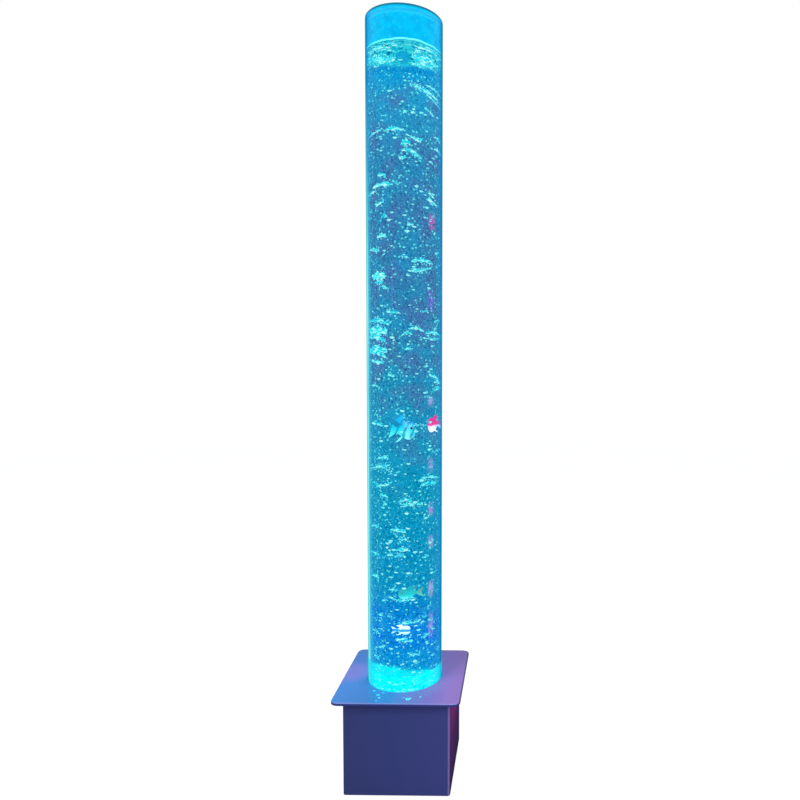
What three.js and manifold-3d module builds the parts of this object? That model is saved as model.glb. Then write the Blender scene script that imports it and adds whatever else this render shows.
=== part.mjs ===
// A water-filled bubble tube: a clear acrylic tube of coloured water with rising bubbles and
// plastic fish, standing on a square base that holds the lamps, the air pump and the drain tap.
//
// Frame: millimetres, the floor is z = 0, the tube's axis is the z axis, x runs to the right
// and the front of the base faces -y.

import * as THREE from "three";
import { mergeVertices } from "three/addons/utils/BufferGeometryUtils.js";
import Module from "manifold-3d";

const wasm = await Module();
wasm.setup();

// Gaps shared by the whole part
const fit = 0.3;                  // gap left between two pieces that seat on each other
const overrun = 4;                // how far a cut reaches past the wall that it opens

// Base box, its top plate and its bottom cover
const boxSide = 208;
const boxHeight = 188;
const boxWall = 8;
const boxCornerRadius = 5;
const plateSide = 248;
const plateThickness = 5;
const plateCornerRadius = 14;
const plateEdgeRadius = 0.8;
const coverThickness = 5;
const footHeight = 3;
const footRadius = 9;
const footInset = 32;             // from the box side to a foot's centre

// Posts, shelf and flange that carry the tube inside the box
const postSide = 18;
const shelfThickness = 8;
const shelfDrop = 41;             // from the box's top edge down to the shelf's upper face
const flangeGap = 2;              // from the flange's edge to the box's inner face
const flangeThickness = 8;

// Tube, plug and lid
const tubeOuter = 150;
const tubeWall = 5;
const tubeRise = 1305;            // from the plate's upper face to the tube's rim
const plugRise = 20;              // how far the clear plug shows above the plate
const plugThickness = 30;
const lidThickness = 4;
const spigotDepth = 12;
const spigotWall = 6;
const sealWidth = 2.4;
const sealHeight = 3.6;
const ventRadius = 2.5;

// Screws
const screwRadius = 2;
const screwHeadRadius = 4.4;
const screwHeadHeight = 2.6;
const coverScrewLength = 26;
const flangeScrewLength = 44;

// Fittings through the plug
const fittingRadius = 5.6;
const fittingHeadRadius = 8;
const fittingHeadHeight = 2.4;
const fittingCollarRadius = 9;
const fittingCollarHeight = 5;
const barbRidge = 0.16;

// Lamps under the plug
const sinkGap = 1.3;              // between the heat sink and the drain fitting's collar
const sinkSeat = 7;               // how far the heat sink rests on the shelf all round
const sinkThickness = 4;
const sinkFinHeight = 22;
const sinkFinThickness = 2;
const sinkFinPitch = 8;
const sinkFinGap = 3;             // between the fins and the shelf's hole
const sinkBoreRadius = 6;
const sinkHubWall = 2.5;
const ledBoardMargin = 4;         // the heat sink shows this much round the lamp board
const ledBoardThickness = 1.6;
const ledSize = 5;
const ledHeight = 1.5;

// Air line
const airHoseRadius = 3;
const airHoseBore = 2;
const airBarbLength = 8;
const checkValveRadius = 6;
const checkValveLength = 20;
const checkValveBack = 8;         // the check valve stands this far behind the tube's axis
const checkValveShare = 0.45;     // of the way up from the pump's outlet to the heat sink's fins

// Drain line and its quarter-turn tap
const drainHoseRadius = 5;
const drainHoseBore = 3.6;
const drainBarbLength = 12;
const drainInset = 11.7;          // from the tube's inner wall to the drain's axis
const drainAngle = 1.03;          // radians from the right towards the back
const tapX = 34;
const tapInset = 18;              // from the rear wall's inner face to the tap's axis
const tapHeight = 56;             // the ball's centre, above the floor
const tapBodyRadius = 11;
const tapBodyHeight = 26;
const tapPipeRadius = 6;
const tapBoreRadius = 3.4;
const tapBallRadius = 8;
const tapStemRadius = 2.6;
const tapSpoutDrop = 26;          // the spout's axis, below the ball's centre
const leverLength = 28;
const leverWidth = 9;
const leverThickness = 3;

// Air pump: a magnet on a swinging arm works a diaphragm
const pumpLength = 104;
const pumpWidth = 60;
const pumpHeight = 56;
const pumpWall = 2.5;
const pumpCornerRadius = 7;
const pumpCoverHeight = 18;
const pumpX = -5;
const pumpInset = 13;             // from the front wall's inner face to the pump
const pumpPadThickness = 4;
const pivotInset = 14;            // the arm's pivot, from the case's right end
const pivotRadius = 2.2;
const armThickness = 2;
const armHeight = 12;
const coreRoom = 3;               // between the core's back and the case
const magnetLength = 4;
const magnetWidth = 14;
const poleGap = 2.2;
const coreLeg = 6;
const coreDepth = 16;
const coreWidth = 36;
const coreLength = 22;
const coilRoom = 2.1;             // between the coil and the core's outer legs
const coilInset = 2.7;            // the coil ends this far behind the legs' tips
const diaphragmRadius = 12.5;
const diaphragmHeight = 5;
const diaphragmWall = 1.4;
const strokeGap = 1.8;            // between the resting diaphragm and its chamber
const chamberRim = 1.5;           // the chamber's edge stands this far round the diaphragm
const chamberRoom = 3.4;          // between the chamber and the case's rear wall

// Controller board and its tray on the left wall
const boardWidth = 80;
const boardHeight = 60;
const boardThickness = 1.6;
const boardPostGap = 16.7;        // between the tray and the rear corner post
const boardDrop = 6;              // from the shelf down to the board's upper edge
const trayThickness = 2;
const standoffHeight = 6;
const standoffRadius = 3;
const terminalWidth = 10;
const terminalDepth = 9;
const leadRadius = 1.8;

// Power inlet and rocker switch on the rear wall
const inletX = -50;
const switchDrop = 40;            // from the shelf down to the switch's middle
const inletDrop = 40;             // from the switch down to the inlet
const inletRadius = 5.7;
const inletFlangeRadius = 8;
const inletFlangeThickness = 1.8;
const inletBoreRadius = 3.2;
const inletPinRadius = 1;
const inletDepth = 21;
const nutRadius = 9.5;
const nutThickness = 3;
const nutSides = 6;
const switchWidth = 13;
const switchLength = 20;
const switchDepth = 22;
const switchBezel = 1.6;
const rockerWidth = 9;
const rockerLength = 13;
const rockerTilt = 0.16;          // radians that the resting rocker leans

// Fish
const fishThickness = 10;
const fishInset = 9.5;            // from the tube's inner wall to a fish's middle
const finThickness = 1.4;

// Numbers of sides and copies
const tubeSides = 60;
const roundSides = 32;
const smallSides = 12;
const screwSides = 10;
const hoseSides = 8;
const leadSides = 6;
const cornerSteps = 3;
const outerLeds = 12;
const innerLeds = 6;

// Sizes, heights and places that follow from the sizes above
const tubeRadius = tubeOuter / 2;
const boreRadius = tubeRadius - tubeWall;
const boxBottom = footHeight;
const boxTop = boxBottom + boxHeight;
const coverTop = boxBottom + coverThickness;
const plateBottom = boxTop + fit;
const plateTop = plateBottom + plateThickness;
const rim = plateTop + tubeRise;
const plugTop = plateTop + plugRise;
const plugBottom = plugTop - plugThickness;
const shelfTop = boxTop - shelfDrop;
const shelfBottom = shelfTop - shelfThickness;
const tubeFoot = shelfTop + fit;
const inside = boxSide / 2 - boxWall;
const postCentre = inside - fit - postSide / 2;
const footCentre = boxSide / 2 - footInset;
const screwHole = screwRadius + fit;
const rearFace = boxSide / 2;
const flangeSide = 2 * (inside - flangeGap);
const drainReach = boreRadius - drainInset;
const drainRight = drainReach * Math.cos(drainAngle);
const drainBack = drainReach * Math.sin(drainAngle);
const sinkRadius = drainReach - fittingCollarRadius - sinkGap;
const ledBoardRadius = sinkRadius - ledBoardMargin;
const shelfHoleRadius = sinkRadius - sinkSeat;
const sinkBottom = shelfTop + fit;
const finFoot = sinkBottom - sinkFinHeight;
const tapY = inside - tapInset;
const spoutHeight = tapHeight - tapSpoutDrop;
const boardTop = shelfBottom - boardDrop;
const boardBottom = boardTop - boardHeight;
const boardBack = postCentre - postSide / 2 - boardPostGap - standoffRadius - boardWidth / 2;
const switchHeight = shelfBottom - switchDrop;
const inletHeight = switchHeight - inletDrop;
const pumpPadBottom = coverTop + fit;
const pumpY = pumpInset + pumpWidth / 2 - inside;
const pumpZ = pumpPadBottom + pumpPadThickness + fit + pumpHeight / 2;
const checkValveHeight = pumpZ + checkValveShare * (finFoot - pumpZ);
const airBarbRadius = airHoseBore - fit;
const drainBarbRadius = drainHoseBore - 2 * fit;

const part = new THREE.Group();

// Colours as the photograph shows them, with the sheen of each surface
const finishes = {
  indigoLacquer: { color: 0x363a6b, roughness: 0.35, metalness: 0 },
  blueGloss: { color: 0x6b82d6, roughness: 0.2, metalness: 0 },
  clearAcrylic: { color: 0x49b9ee, roughness: 0.05, metalness: 0 },
  cyanAcrylic: { color: 0x00ecff, roughness: 0.1, metalness: 0 },
  frostedAcrylic: { color: 0x00bef0, roughness: 0.5, metalness: 0 },
  board: { color: 0x2a2d3a, roughness: 0.8, metalness: 0 },
  wood: { color: 0xb08a5e, roughness: 0.8, metalness: 0 },
  rubber: { color: 0x1c1c1e, roughness: 0.9, metalness: 0 },
  steel: { color: 0xb4b8bc, roughness: 0.35, metalness: 1 },
  aluminium: { color: 0xc3c6ca, roughness: 0.4, metalness: 1 },
  brass: { color: 0xc9a452, roughness: 0.35, metalness: 1 },
  copper: { color: 0xb0603a, roughness: 0.45, metalness: 1 },
  circuit: { color: 0x1f6b3d, roughness: 0.6, metalness: 0 },
  whiteCircuit: { color: 0xe9ecef, roughness: 0.5, metalness: 0 },
  hose: { color: 0xdfe8ea, roughness: 0.3, metalness: 0 },
  greyPlastic: { color: 0x8b8f96, roughness: 0.6, metalness: 0 },
  blackPlastic: { color: 0x18191b, roughness: 0.5, metalness: 0 },
  redPlastic: { color: 0xb4232a, roughness: 0.4, metalness: 0 },
  stripedFish: { color: 0xd9e2dc, roughness: 0.35, metalness: 0 },
  pinkFish: { color: 0xe8457f, roughness: 0.35, metalness: 0 },
  greenFish: { color: 0x2f8f78, roughness: 0.35, metalness: 0 },
  whiteFish: { color: 0xeef3f2, roughness: 0.35, metalness: 0 },
};

// Adds one named piece to the part or to one of its groups
function add(name, geometry, finish, parent = part) {
  const mesh = new THREE.Mesh(geometry, new THREE.MeshStandardMaterial(finishes[finish]));
  mesh.name = name;
  parent.add(mesh);
  return mesh;
}

// Keeps only positions, joins shared corners and leaves out triangles with no area
function merged(geometry) {
  const bare = new THREE.BufferGeometry();
  bare.setAttribute("position", geometry.getAttribute("position").clone());
  if (geometry.index) bare.setIndex(geometry.index.clone());
  const joined = mergeVertices(bare);
  const from = joined.index.array;
  const kept = [];
  for (let i = 0; i < from.length; i += 3) {
    const [a, b, c] = [from[i], from[i + 1], from[i + 2]];
    if (a !== b && b !== c && c !== a) kept.push(a, b, c);
  }
  joined.setIndex(kept);
  return joined;
}

// A closed geometry as a solid for joins and cuts
function solid(geometry) {
  const bare = merged(geometry);
  const vertProperties = new Float32Array(bare.getAttribute("position").array);
  const triVerts = new Uint32Array(bare.index.array);
  return new wasm.Manifold(new wasm.Mesh({ numProp: 3, vertProperties, triVerts }));
}

// A solid back as a geometry with flat faces
function shaped(body) {
  const mesh = body.getMesh();
  const geometry = new THREE.BufferGeometry();
  geometry.setAttribute("position", new THREE.BufferAttribute(mesh.vertProperties, mesh.numProp));
  geometry.setIndex(new THREE.BufferAttribute(mesh.triVerts, 1));
  geometry.computeVertexNormals();
  return geometry;
}

// The first geometry with the added ones joined to it and the cut ones taken away
function carve(geometry, { joined = [], cuts = [] }) {
  let body = solid(geometry);
  for (const piece of joined) body = body.add(solid(piece));
  for (const piece of cuts) body = body.subtract(solid(piece));
  return shaped(body);
}

// A block between two corners
function block(low, high) {
  const size = new THREE.Vector3(...high).sub(new THREE.Vector3(...low));
  const middle = new THREE.Vector3(...low).addScaledVector(size, 0.5);
  return new THREE.BoxGeometry(size.x, size.y, size.z).translate(middle.x, middle.y, middle.z);
}

// A round rod that stands on z = bottom
function rod(radius, bottom, top, sides = smallSides) {
  const geometry = new THREE.CylinderGeometry(radius, radius, top - bottom, sides);
  return geometry.rotateX(Math.PI / 2).translate(0, 0, (bottom + top) / 2);
}

// A turned piece: [radius, height] pairs go up the outside and back down the inside
function lathe(profile, sides = roundSides) {
  const points = profile.map(([radius, height]) => new THREE.Vector2(radius, height));
  return merged(new THREE.LatheGeometry(points, sides).rotateX(Math.PI / 2));
}

// A flat ring between two heights
function ring(outer, inner, bottom, top, sides = roundSides) {
  return lathe([[inner, bottom], [outer, bottom], [outer, top], [inner, top], [inner, bottom]], sides);
}

// Turns a piece that was made standing up so that it points to the back or to the right
const pointBack = (geometry) => geometry.rotateX(-Math.PI / 2);
const pointRight = (geometry) => geometry.rotateY(Math.PI / 2);

// Points on an arc, from one angle to another, both ends included
function arc(x, y, radius, from, to, steps) {
  return Array.from({ length: steps + 1 }, (_, i) => {
    const angle = from + ((to - from) * i) / steps;
    return new THREE.Vector2(x + radius * Math.cos(angle), y + radius * Math.sin(angle));
  });
}

// A rectangle with round corners, centred on the origin
function roundedRectangle(width, height, radius) {
  const [x, y] = [width / 2 - radius, height / 2 - radius];
  const centres = [[x, y], [-x, y], [-x, -y], [x, -y]];
  return new THREE.Shape(centres.flatMap(([cx, cy], i) => {
    return arc(cx, cy, radius, (Math.PI * i) / 2, (Math.PI * (i + 1)) / 2, cornerSteps);
  }));
}

// A round hole or outline with a given number of sides
function circle(radius, sides) {
  return new THREE.Path(arc(0, 0, radius, 0, 2 * Math.PI * (1 - 1 / sides), sides - 1));
}

// A shape given thickness, standing on z = bottom
function slab(shape, bottom, top) {
  const options = { depth: top - bottom, bevelEnabled: false };
  return new THREE.ExtrudeGeometry(shape, options).translate(0, 0, bottom);
}

// A tube or a wire that follows a curve
function along(extrudePath, radius, bore, steps, sides = hoseSides) {
  const section = new THREE.Shape(circle(radius, sides).getPoints());
  if (bore > 0) section.holes.push(circle(bore, sides));
  return merged(new THREE.ExtrudeGeometry(section, { extrudePath, steps, bevelEnabled: false }));
}

// A route with two straight ends and one smooth bend between them
const bendPullShare = 0.48;

function bentRoute(ends) {
  const [start, bendStart, bendEnd, end] = ends.map((point) => new THREE.Vector3(...point));
  const pull = bendStart.distanceTo(bendEnd) * bendPullShare;
  const first = bendStart.clone().sub(start).setLength(pull).add(bendStart);
  const second = bendEnd.clone().sub(end).setLength(pull).add(bendEnd);
  const route = new THREE.CurvePath();
  route.add(new THREE.LineCurve3(start, bendStart));
  route.add(new THREE.CubicBezierCurve3(bendStart, first, second, bendEnd));
  route.add(new THREE.LineCurve3(bendEnd, end));
  return route;
}

// The four corners of a square, as right or left and back or front
const corners = [
  ["front_left", -1, -1],
  ["front_right", 1, -1],
  ["rear_left", -1, 1],
  ["rear_right", 1, 1],
];

// Base box: four walls with the openings of the rear wall
const tapOpening = {
  left: tapX - leverLength - leverWidth,
  right: tapX + tapBodyRadius + fit + overrun,
  bottom: spoutHeight - tapPipeRadius - overrun,
  top: tapHeight + leverLength + leverWidth,
};
const ventCount = 9;
const ventWidth = 4;
const ventLength = 26;
const ventPitch = 10;
const ventTopDrop = 18;           // from the box's top edge to the vents

function rearSlot(left, right, bottom, top) {
  return block([left, inside - overrun, bottom], [right, rearFace + overrun, top]);
}

function rearVents() {
  const top = boxTop - ventTopDrop;
  const slots = [];
  for (let i = 0; i < ventCount; i += 1) {
    const x = (i - (ventCount - 1) / 2) * ventPitch;
    slots.push(rearSlot(x - ventWidth / 2, x + ventWidth / 2, top - ventLength, top));
  }
  return slots;
}

function baseBox() {
  const walls = slab(roundedRectangle(boxSide, boxSide, boxCornerRadius), boxBottom, boxTop);
  const hollow = block([-inside, -inside, boxBottom - overrun], [inside, inside, boxTop + overrun]);
  const { left, right, bottom, top } = tapOpening;
  const inletHole = pointBack(rod(inletRadius + fit, 0, boxWall + 2 * overrun))
    .translate(inletX, inside - overrun, inletHeight);
  const halfWidth = switchWidth / 2 + fit;
  const halfLength = switchLength / 2 + fit;
  const switchHole = rearSlot(
    inletX - halfWidth, inletX + halfWidth, switchHeight - halfLength, switchHeight + halfLength);
  const cuts = [hollow, rearSlot(left, right, bottom, top), inletHole, switchHole, ...rearVents()];
  return carve(walls, { cuts });
}

// Top plate: overhangs the box all round, with a close hole for the tube
function topPlate() {
  const shape = roundedRectangle(plateSide, plateSide, plateCornerRadius);
  shape.holes.push(circle(tubeRadius + 2 * fit, tubeSides));
  const options = {
    depth: plateThickness - 2 * plateEdgeRadius,
    bevelThickness: plateEdgeRadius,
    bevelSize: plateEdgeRadius,
    bevelOffset: -plateEdgeRadius,
    bevelSegments: 1,
  };
  const geometry = new THREE.ExtrudeGeometry(shape, options);
  return merged(geometry.translate(0, 0, plateBottom + plateEdgeRadius));
}

// Bottom cover: drops in between the walls, with air slots and sunk screw holes
const coverSlotCount = 7;
const coverSlotWidth = 5;
const coverSlotLength = 70;
const coverSlotPitch = 16;
const coverSlotBack = 34;

function bottomCover() {
  const half = inside - fit;
  const sheet = block([-half, -half, boxBottom], [half, half, coverTop]);
  const cuts = [];
  for (let i = 0; i < coverSlotCount; i += 1) {
    const x = (i - (coverSlotCount - 1) / 2) * coverSlotPitch - coverSlotPitch;
    cuts.push(block(
      [x - coverSlotWidth / 2, coverSlotBack - coverSlotLength / 2, boxBottom - overrun],
      [x + coverSlotWidth / 2, coverSlotBack + coverSlotLength / 2, coverTop + overrun]));
  }
  for (const [, x, y] of corners) {
    const ledge = boxBottom + screwHeadHeight + fit;
    const sink = rod(screwHeadRadius + 2 * fit, boxBottom - overrun, ledge, screwSides);
    const hole = rod(screwHole, boxBottom - overrun, coverTop + overrun, screwSides);
    const footHole = rod(footStemRadius + fit, boxBottom - overrun, coverTop + overrun);
    cuts.push(sink.translate(x * postCentre, y * postCentre, 0));
    cuts.push(hole.translate(x * postCentre, y * postCentre, 0));
    cuts.push(footHole.translate(x * footCentre, y * footCentre, 0));
  }
  return carve(sheet, { cuts });
}

// Foot: a rubber disc with a push-in stem
const footStemRadius = 2.5;
const footChamfer = 1;

function foot() {
  const seat = footHeight - fit;
  return lathe([
    [0, 0],
    [footRadius - footChamfer, 0],
    [footRadius, footChamfer],
    [footRadius, seat],
    [footStemRadius, seat],
    [footStemRadius, coverTop],
    [0, coverTop],
  ], smallSides);
}

// Corner post: takes a cover screw from below and a flange screw from above
const postBottom = coverTop + fit;
const postTop = shelfBottom - fit;

function cornerPost() {
  const half = postSide / 2;
  const stick = block([-half, -half, postBottom], [half, half, postTop]);
  const lower = rod(screwHole, postBottom - overrun, boxBottom + coverScrewLength + overrun, screwSides);
  const upper = rod(screwHole, flangeTop - flangeScrewLength - overrun, postTop + overrun, screwSides);
  return carve(stick, { cuts: [lower, upper] });
}

// Screw with a flat round head, standing on its head and pointing up
function screw(length) {
  return lathe([
    [0, 0],
    [screwHeadRadius, 0],
    [screwHeadRadius, screwHeadHeight],
    [screwRadius, screwHeadHeight],
    [screwRadius, length - 2 * screwRadius],
    [0, length],
  ], screwSides);
}

// Shelf: carries the tube and the lamps, with holes for the drain hose and the lamp lead
const hoseHoleMargin = 2.5;
const hoseHoleRadius = drainHoseRadius + hoseHoleMargin;
const flangeTop = tubeFoot + flangeThickness;

function cornerHoles(bottom, top) {
  return corners.map(([, x, y]) => {
    const hole = rod(screwHole, bottom - overrun, top + overrun, screwSides);
    return hole.translate(x * postCentre, y * postCentre, 0);
  });
}

function shelf() {
  const half = inside - fit;
  const board = block([-half, -half, shelfBottom], [half, half, shelfTop]);
  const lampHole = rod(shelfHoleRadius, shelfBottom - overrun, shelfTop + overrun, roundSides);
  const hoseHole = rod(hoseHoleRadius, shelfBottom - overrun, shelfTop + overrun);
  const leadHole = hoseHole.clone().translate(-drainRight, drainBack, 0);
  const cuts = [lampHole, hoseHole.translate(drainRight, drainBack, 0), leadHole];
  return carve(board, { cuts: [...cuts, ...cornerHoles(shelfBottom, shelfTop)] });
}

// Flange: a square collar cemented round the tube's foot and screwed down at its corners
function tubeFlange() {
  const shape = roundedRectangle(flangeSide, flangeSide, boxCornerRadius);
  shape.holes.push(circle(tubeRadius + 2 * fit, tubeSides));
  const collar = slab(shape, tubeFoot, flangeTop);
  return carve(collar, { cuts: cornerHoles(tubeFoot, flangeTop) });
}

// Clear plug: closes the tube's foot, with a bore for the air nozzle and one for the drain
function tubePlug() {
  const disc = rod(boreRadius - fit, plugBottom, plugTop, tubeSides);
  const bore = rod(fittingRadius + fit, plugBottom - overrun, plugTop + overrun);
  const drainBore = bore.clone().translate(drainRight, drainBack, 0);
  return carve(disc, { cuts: [bore, drainBore] });
}

// Fitting through the plug: a head above, a shank, a collar below and a ridged hose barb
const passageShare = 0.6;         // a barb's passage, of its radius
const airPassage = airBarbRadius * passageShare;
const drainPassage = drainBarbRadius * passageShare;

function plugFitting(barbRadius, passage, barbLength) {
  const collarTop = plugBottom - fit;
  const collarBottom = collarTop - fittingCollarHeight;
  const barbTip = collarBottom - barbLength;
  const headBottom = plugTop + fit;
  return lathe([
    [passage, barbTip],
    [barbRadius - barbRidge, barbTip],
    [barbRadius, barbTip + barbLength / 4],
    [barbRadius - barbRidge, barbTip + barbLength / 2],
    [barbRadius - barbRidge, collarBottom],
    [fittingCollarRadius, collarBottom],
    [fittingCollarRadius, collarTop],
    [fittingRadius, collarTop],
    [fittingRadius, headBottom],
    [fittingHeadRadius, headBottom],
    [fittingHeadRadius - fittingHeadHeight / 2, headBottom + fittingHeadHeight],
    [passage, headBottom + fittingHeadHeight],
    [passage, barbTip],
  ], smallSides);
}

// Heat sink: a round plate on the shelf with straight fins hanging through the shelf's hole
const sinkTop = sinkBottom + sinkThickness;
const sinkFinRadius = shelfHoleRadius - sinkFinGap;

function heatSink() {
  const disc = rod(sinkRadius, sinkBottom, sinkTop, roundSides);
  const half = Math.floor(sinkFinRadius / sinkFinPitch);
  const fins = [];
  for (let i = -half; i <= half; i += 1) {
    const x = i * sinkFinPitch;
    const reach = Math.sqrt(sinkFinRadius ** 2 - x ** 2);
    fins.push(block(
      [x - sinkFinThickness / 2, -reach, finFoot],
      [x + sinkFinThickness / 2, reach, sinkBottom + sinkThickness / 2]));
  }
  const hub = rod(sinkBoreRadius + sinkHubWall, finFoot, sinkTop - sinkThickness / 2);
  const bore = rod(sinkBoreRadius, finFoot - overrun, sinkTop + overrun);
  return carve(disc, { joined: [...fins, hub], cuts: [bore] });
}

// Lamp board: two rings of lamps and a plug for its lead, round the air hose
const ledBoardBottom = sinkTop + fit;
const ledBoardTop = ledBoardBottom + ledBoardThickness;
const outerLedShare = 0.84;       // of the board's radius
const innerLedShare = 0.5;
const ledPlugWidth = 8;
const ledPlugHeight = 5;
const ledPlugShare = 0.86;

const leadAngle = Math.atan2(drainBack, -drainRight);

function ledRing(count, radius) {
  const lamps = [];
  for (let i = 0; i < count; i += 1) {
    const half = ledSize / 2;
    const low = [radius - half, -half, ledBoardTop - ledBoardThickness / 2];
    const lamp = block(low, [radius + half, half, ledBoardTop + ledHeight]);
    lamps.push(lamp.rotateZ((2 * Math.PI * (i + 0.5)) / count));
  }
  return lamps;
}

function ledBoard() {
  const disc = rod(ledBoardRadius, ledBoardBottom, ledBoardTop, roundSides);
  const half = ledPlugWidth / 2;
  const middle = ledBoardRadius * ledPlugShare;
  const socket = block(
    [middle - half, -half, ledBoardTop - ledBoardThickness / 2],
    [middle + half, half, ledBoardTop + ledPlugHeight]).rotateZ(leadAngle);
  const lamps = [
    ...ledRing(outerLeds, ledBoardRadius * outerLedShare),
    ...ledRing(innerLeds, ledBoardRadius * innerLedShare),
  ];
  const bore = rod(sinkBoreRadius, ledBoardBottom - overrun, ledBoardTop + overrun);
  return carve(disc, { joined: [...lamps, socket], cuts: [bore] });
}

// Lid: a disc the size of the tube with a spigot, a groove for its seal and three vent holes
const lidBottom = rim + fit;
const lidTop = lidBottom + lidThickness;
const spigotRadius = boreRadius - 3 * fit;
const grooveRadius = spigotRadius - sealWidth + 2 * fit;
const grooveBottom = lidBottom - spigotDepth / 2 - sealHeight / 2;
const ventCircleShare = 0.55;

function lid() {
  const [low, high] = [grooveBottom - fit, grooveBottom + sealHeight + fit];
  const inner = spigotRadius - spigotWall;
  const spigotFoot = lidBottom - spigotDepth;
  const turned = lathe([
    [0, lidBottom],
    [inner, lidBottom],
    [inner, spigotFoot],
    [spigotRadius, spigotFoot],
    [spigotRadius, low],
    [grooveRadius, low],
    [grooveRadius, high],
    [spigotRadius, high],
    [spigotRadius, lidBottom],
    [tubeRadius, lidBottom],
    [tubeRadius, lidTop - plateEdgeRadius],
    [tubeRadius - plateEdgeRadius, lidTop],
    [0, lidTop],
  ], tubeSides);
  const vents = [0, 1, 2].map((i) => {
    const vent = rod(ventRadius, lidBottom - overrun, lidTop + overrun);
    return vent.translate(tubeRadius * ventCircleShare, 0, 0).rotateZ((2 * Math.PI * i) / 3);
  });
  return carve(turned, { cuts: vents });
}

// Seal: a clear silicone ring in the spigot's groove that rubs on the tube's bore
function lidSeal() {
  const inner = grooveRadius + fit;
  return ring(boreRadius - fit, inner, grooveBottom, grooveBottom + sealHeight, tubeSides);
}

// Check valve: an inline barrel with a barb at each end
const valveShoulderShare = 0.7;

function checkValve() {
  const half = checkValveLength / 2;
  const end = half + airBarbLength;
  const neck = checkValveRadius * valveShoulderShare;
  return lathe([
    [airPassage, -end],
    [airBarbRadius, -end],
    [airBarbRadius, -half],
    [neck, -half],
    [checkValveRadius, -half + checkValveRadius - neck],
    [checkValveRadius, half - checkValveRadius + neck],
    [neck, half],
    [airBarbRadius, half],
    [airBarbRadius, end],
    [airPassage, end],
    [airPassage, -end],
  ], smallSides).translate(0, checkValveBack, checkValveHeight);
}

// Air hose from the check valve up through the lamps to the nozzle
const airHoseSteps = 13;
const valveTop = checkValveHeight + checkValveLength / 2;
const valveBottom = checkValveHeight - checkValveLength / 2;

function airHose() {
  const top = plugBottom - fittingCollarHeight - 2 * fit;
  const route = bentRoute([
    [0, checkValveBack, valveTop + fit],
    [0, checkValveBack, valveTop + airBarbLength + fit],
    [0, 0, finFoot],
    [0, 0, top],
  ]);
  return along(route, airHoseRadius, airHoseBore, airHoseSteps);
}

// Pump: placed in its own group, whose origin is on the air outlet's axis
const pump = new THREE.Group();
pump.position.set(pumpX, pumpY, pumpZ);
part.add(pump);

const caseFloor = -pumpHeight / 2;
const caseTop = pumpHeight / 2 - pumpCoverHeight;
const floorTop = caseFloor + pumpWall;
const pivotX = pumpLength / 2 - pivotInset;
const coreBack = coreRoom + pumpWall - pumpLength / 2;
const coreTip = coreBack + coreLength;
const magnetFace = coreTip + poleGap;
const armLength = pivotX - magnetFace - magnetLength - fit;
const coilWall = coreWidth / 2 - 1.5 * coreLeg - fit - coilRoom;
const coilLength = coreLength - coreLeg - fit - coilInset;
const diaphragmX = pivotX - armLength / 2;
const diaphragmFoot = armThickness / 2 + fit;
const chamberFace = diaphragmFoot + diaphragmHeight + strokeGap;
const chamberBack = pumpWidth / 2 - pumpWall - chamberRoom;
const chamberLength = chamberBack - chamberFace;
const chamberRadius = diaphragmRadius + chamberRim;
const outletTip = pumpWidth / 2 + airBarbLength + fit;
const outletNeckRadius = airHoseRadius + fit;

// A round-cornered block, hollowed between two heights
function pumpShell(bottom, top, hollowBottom, hollowTop) {
  const outline = roundedRectangle(pumpLength, pumpWidth, pumpCornerRadius);
  const innerRadius = pumpCornerRadius - pumpWall;
  const inner = roundedRectangle(pumpLength - 2 * pumpWall, pumpWidth - 2 * pumpWall, innerRadius);
  return carve(slab(outline, bottom, top), { cuts: [slab(inner, hollowBottom, hollowTop)] });
}

// Lower case: carries the core on a step and the arm on a pivot post
function pumpCase() {
  const shell = pumpShell(caseFloor, caseTop, floorTop, caseTop + overrun);
  const shoulder = rod(pivotRadius * 2, caseFloor, -armHeight / 2 - fit).translate(pivotX, 0, 0);
  const pivot = rod(pivotRadius, caseFloor, armHeight / 2 + pivotRadius).translate(pivotX, 0, 0);
  const step = block(
    [coreBack, -coreWidth / 2, caseFloor],
    [coreBack + coreLeg, coreWidth / 2, -coreDepth / 2 - fit]);
  const outletHole = pointBack(rod(outletNeckRadius + fit, 0, pumpWidth)).translate(diaphragmX, 0, 0);
  const leadHole = pointRight(rod(leadRadius + fit, 0, pumpLength)).translate(-pumpLength, 0, 0);
  const wallBand = block(
    [-pumpLength, 0, -pumpHeight],
    [-pumpLength / 2 + pumpWall + overrun, pumpWidth, pumpHeight]);
  const cuts = [
    outletHole,
    shaped(solid(leadHole.translate(0, coreWidth / 2, caseFloor / 2)).intersect(solid(wallBand))),
  ];
  return carve(shell, { joined: [shoulder, pivot, step], cuts });
}

// Cover: an upturned tray that closes the case
function pumpCover() {
  const bottom = caseTop + fit;
  const top = pumpHeight / 2;
  return pumpShell(bottom, top, bottom - overrun, top - pumpWall);
}

// Core: stacked E-shaped iron with its three legs towards the magnet
function pumpCore() {
  const half = coreWidth / 2;
  const leg = coreLeg / 2;
  const inner = half - coreLeg;
  const back = coreBack + coreLeg;
  const shape = new THREE.Shape([
    [coreBack, -half], [coreTip, -half], [coreTip, -inner], [back, -inner],
    [back, -leg], [coreTip, -leg], [coreTip, leg], [back, leg],
    [back, inner], [coreTip, inner], [coreTip, half], [coreBack, half],
  ].map(([x, y]) => new THREE.Vector2(x, y)));
  return merged(slab(shape, -coreDepth / 2, coreDepth / 2));
}

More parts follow.
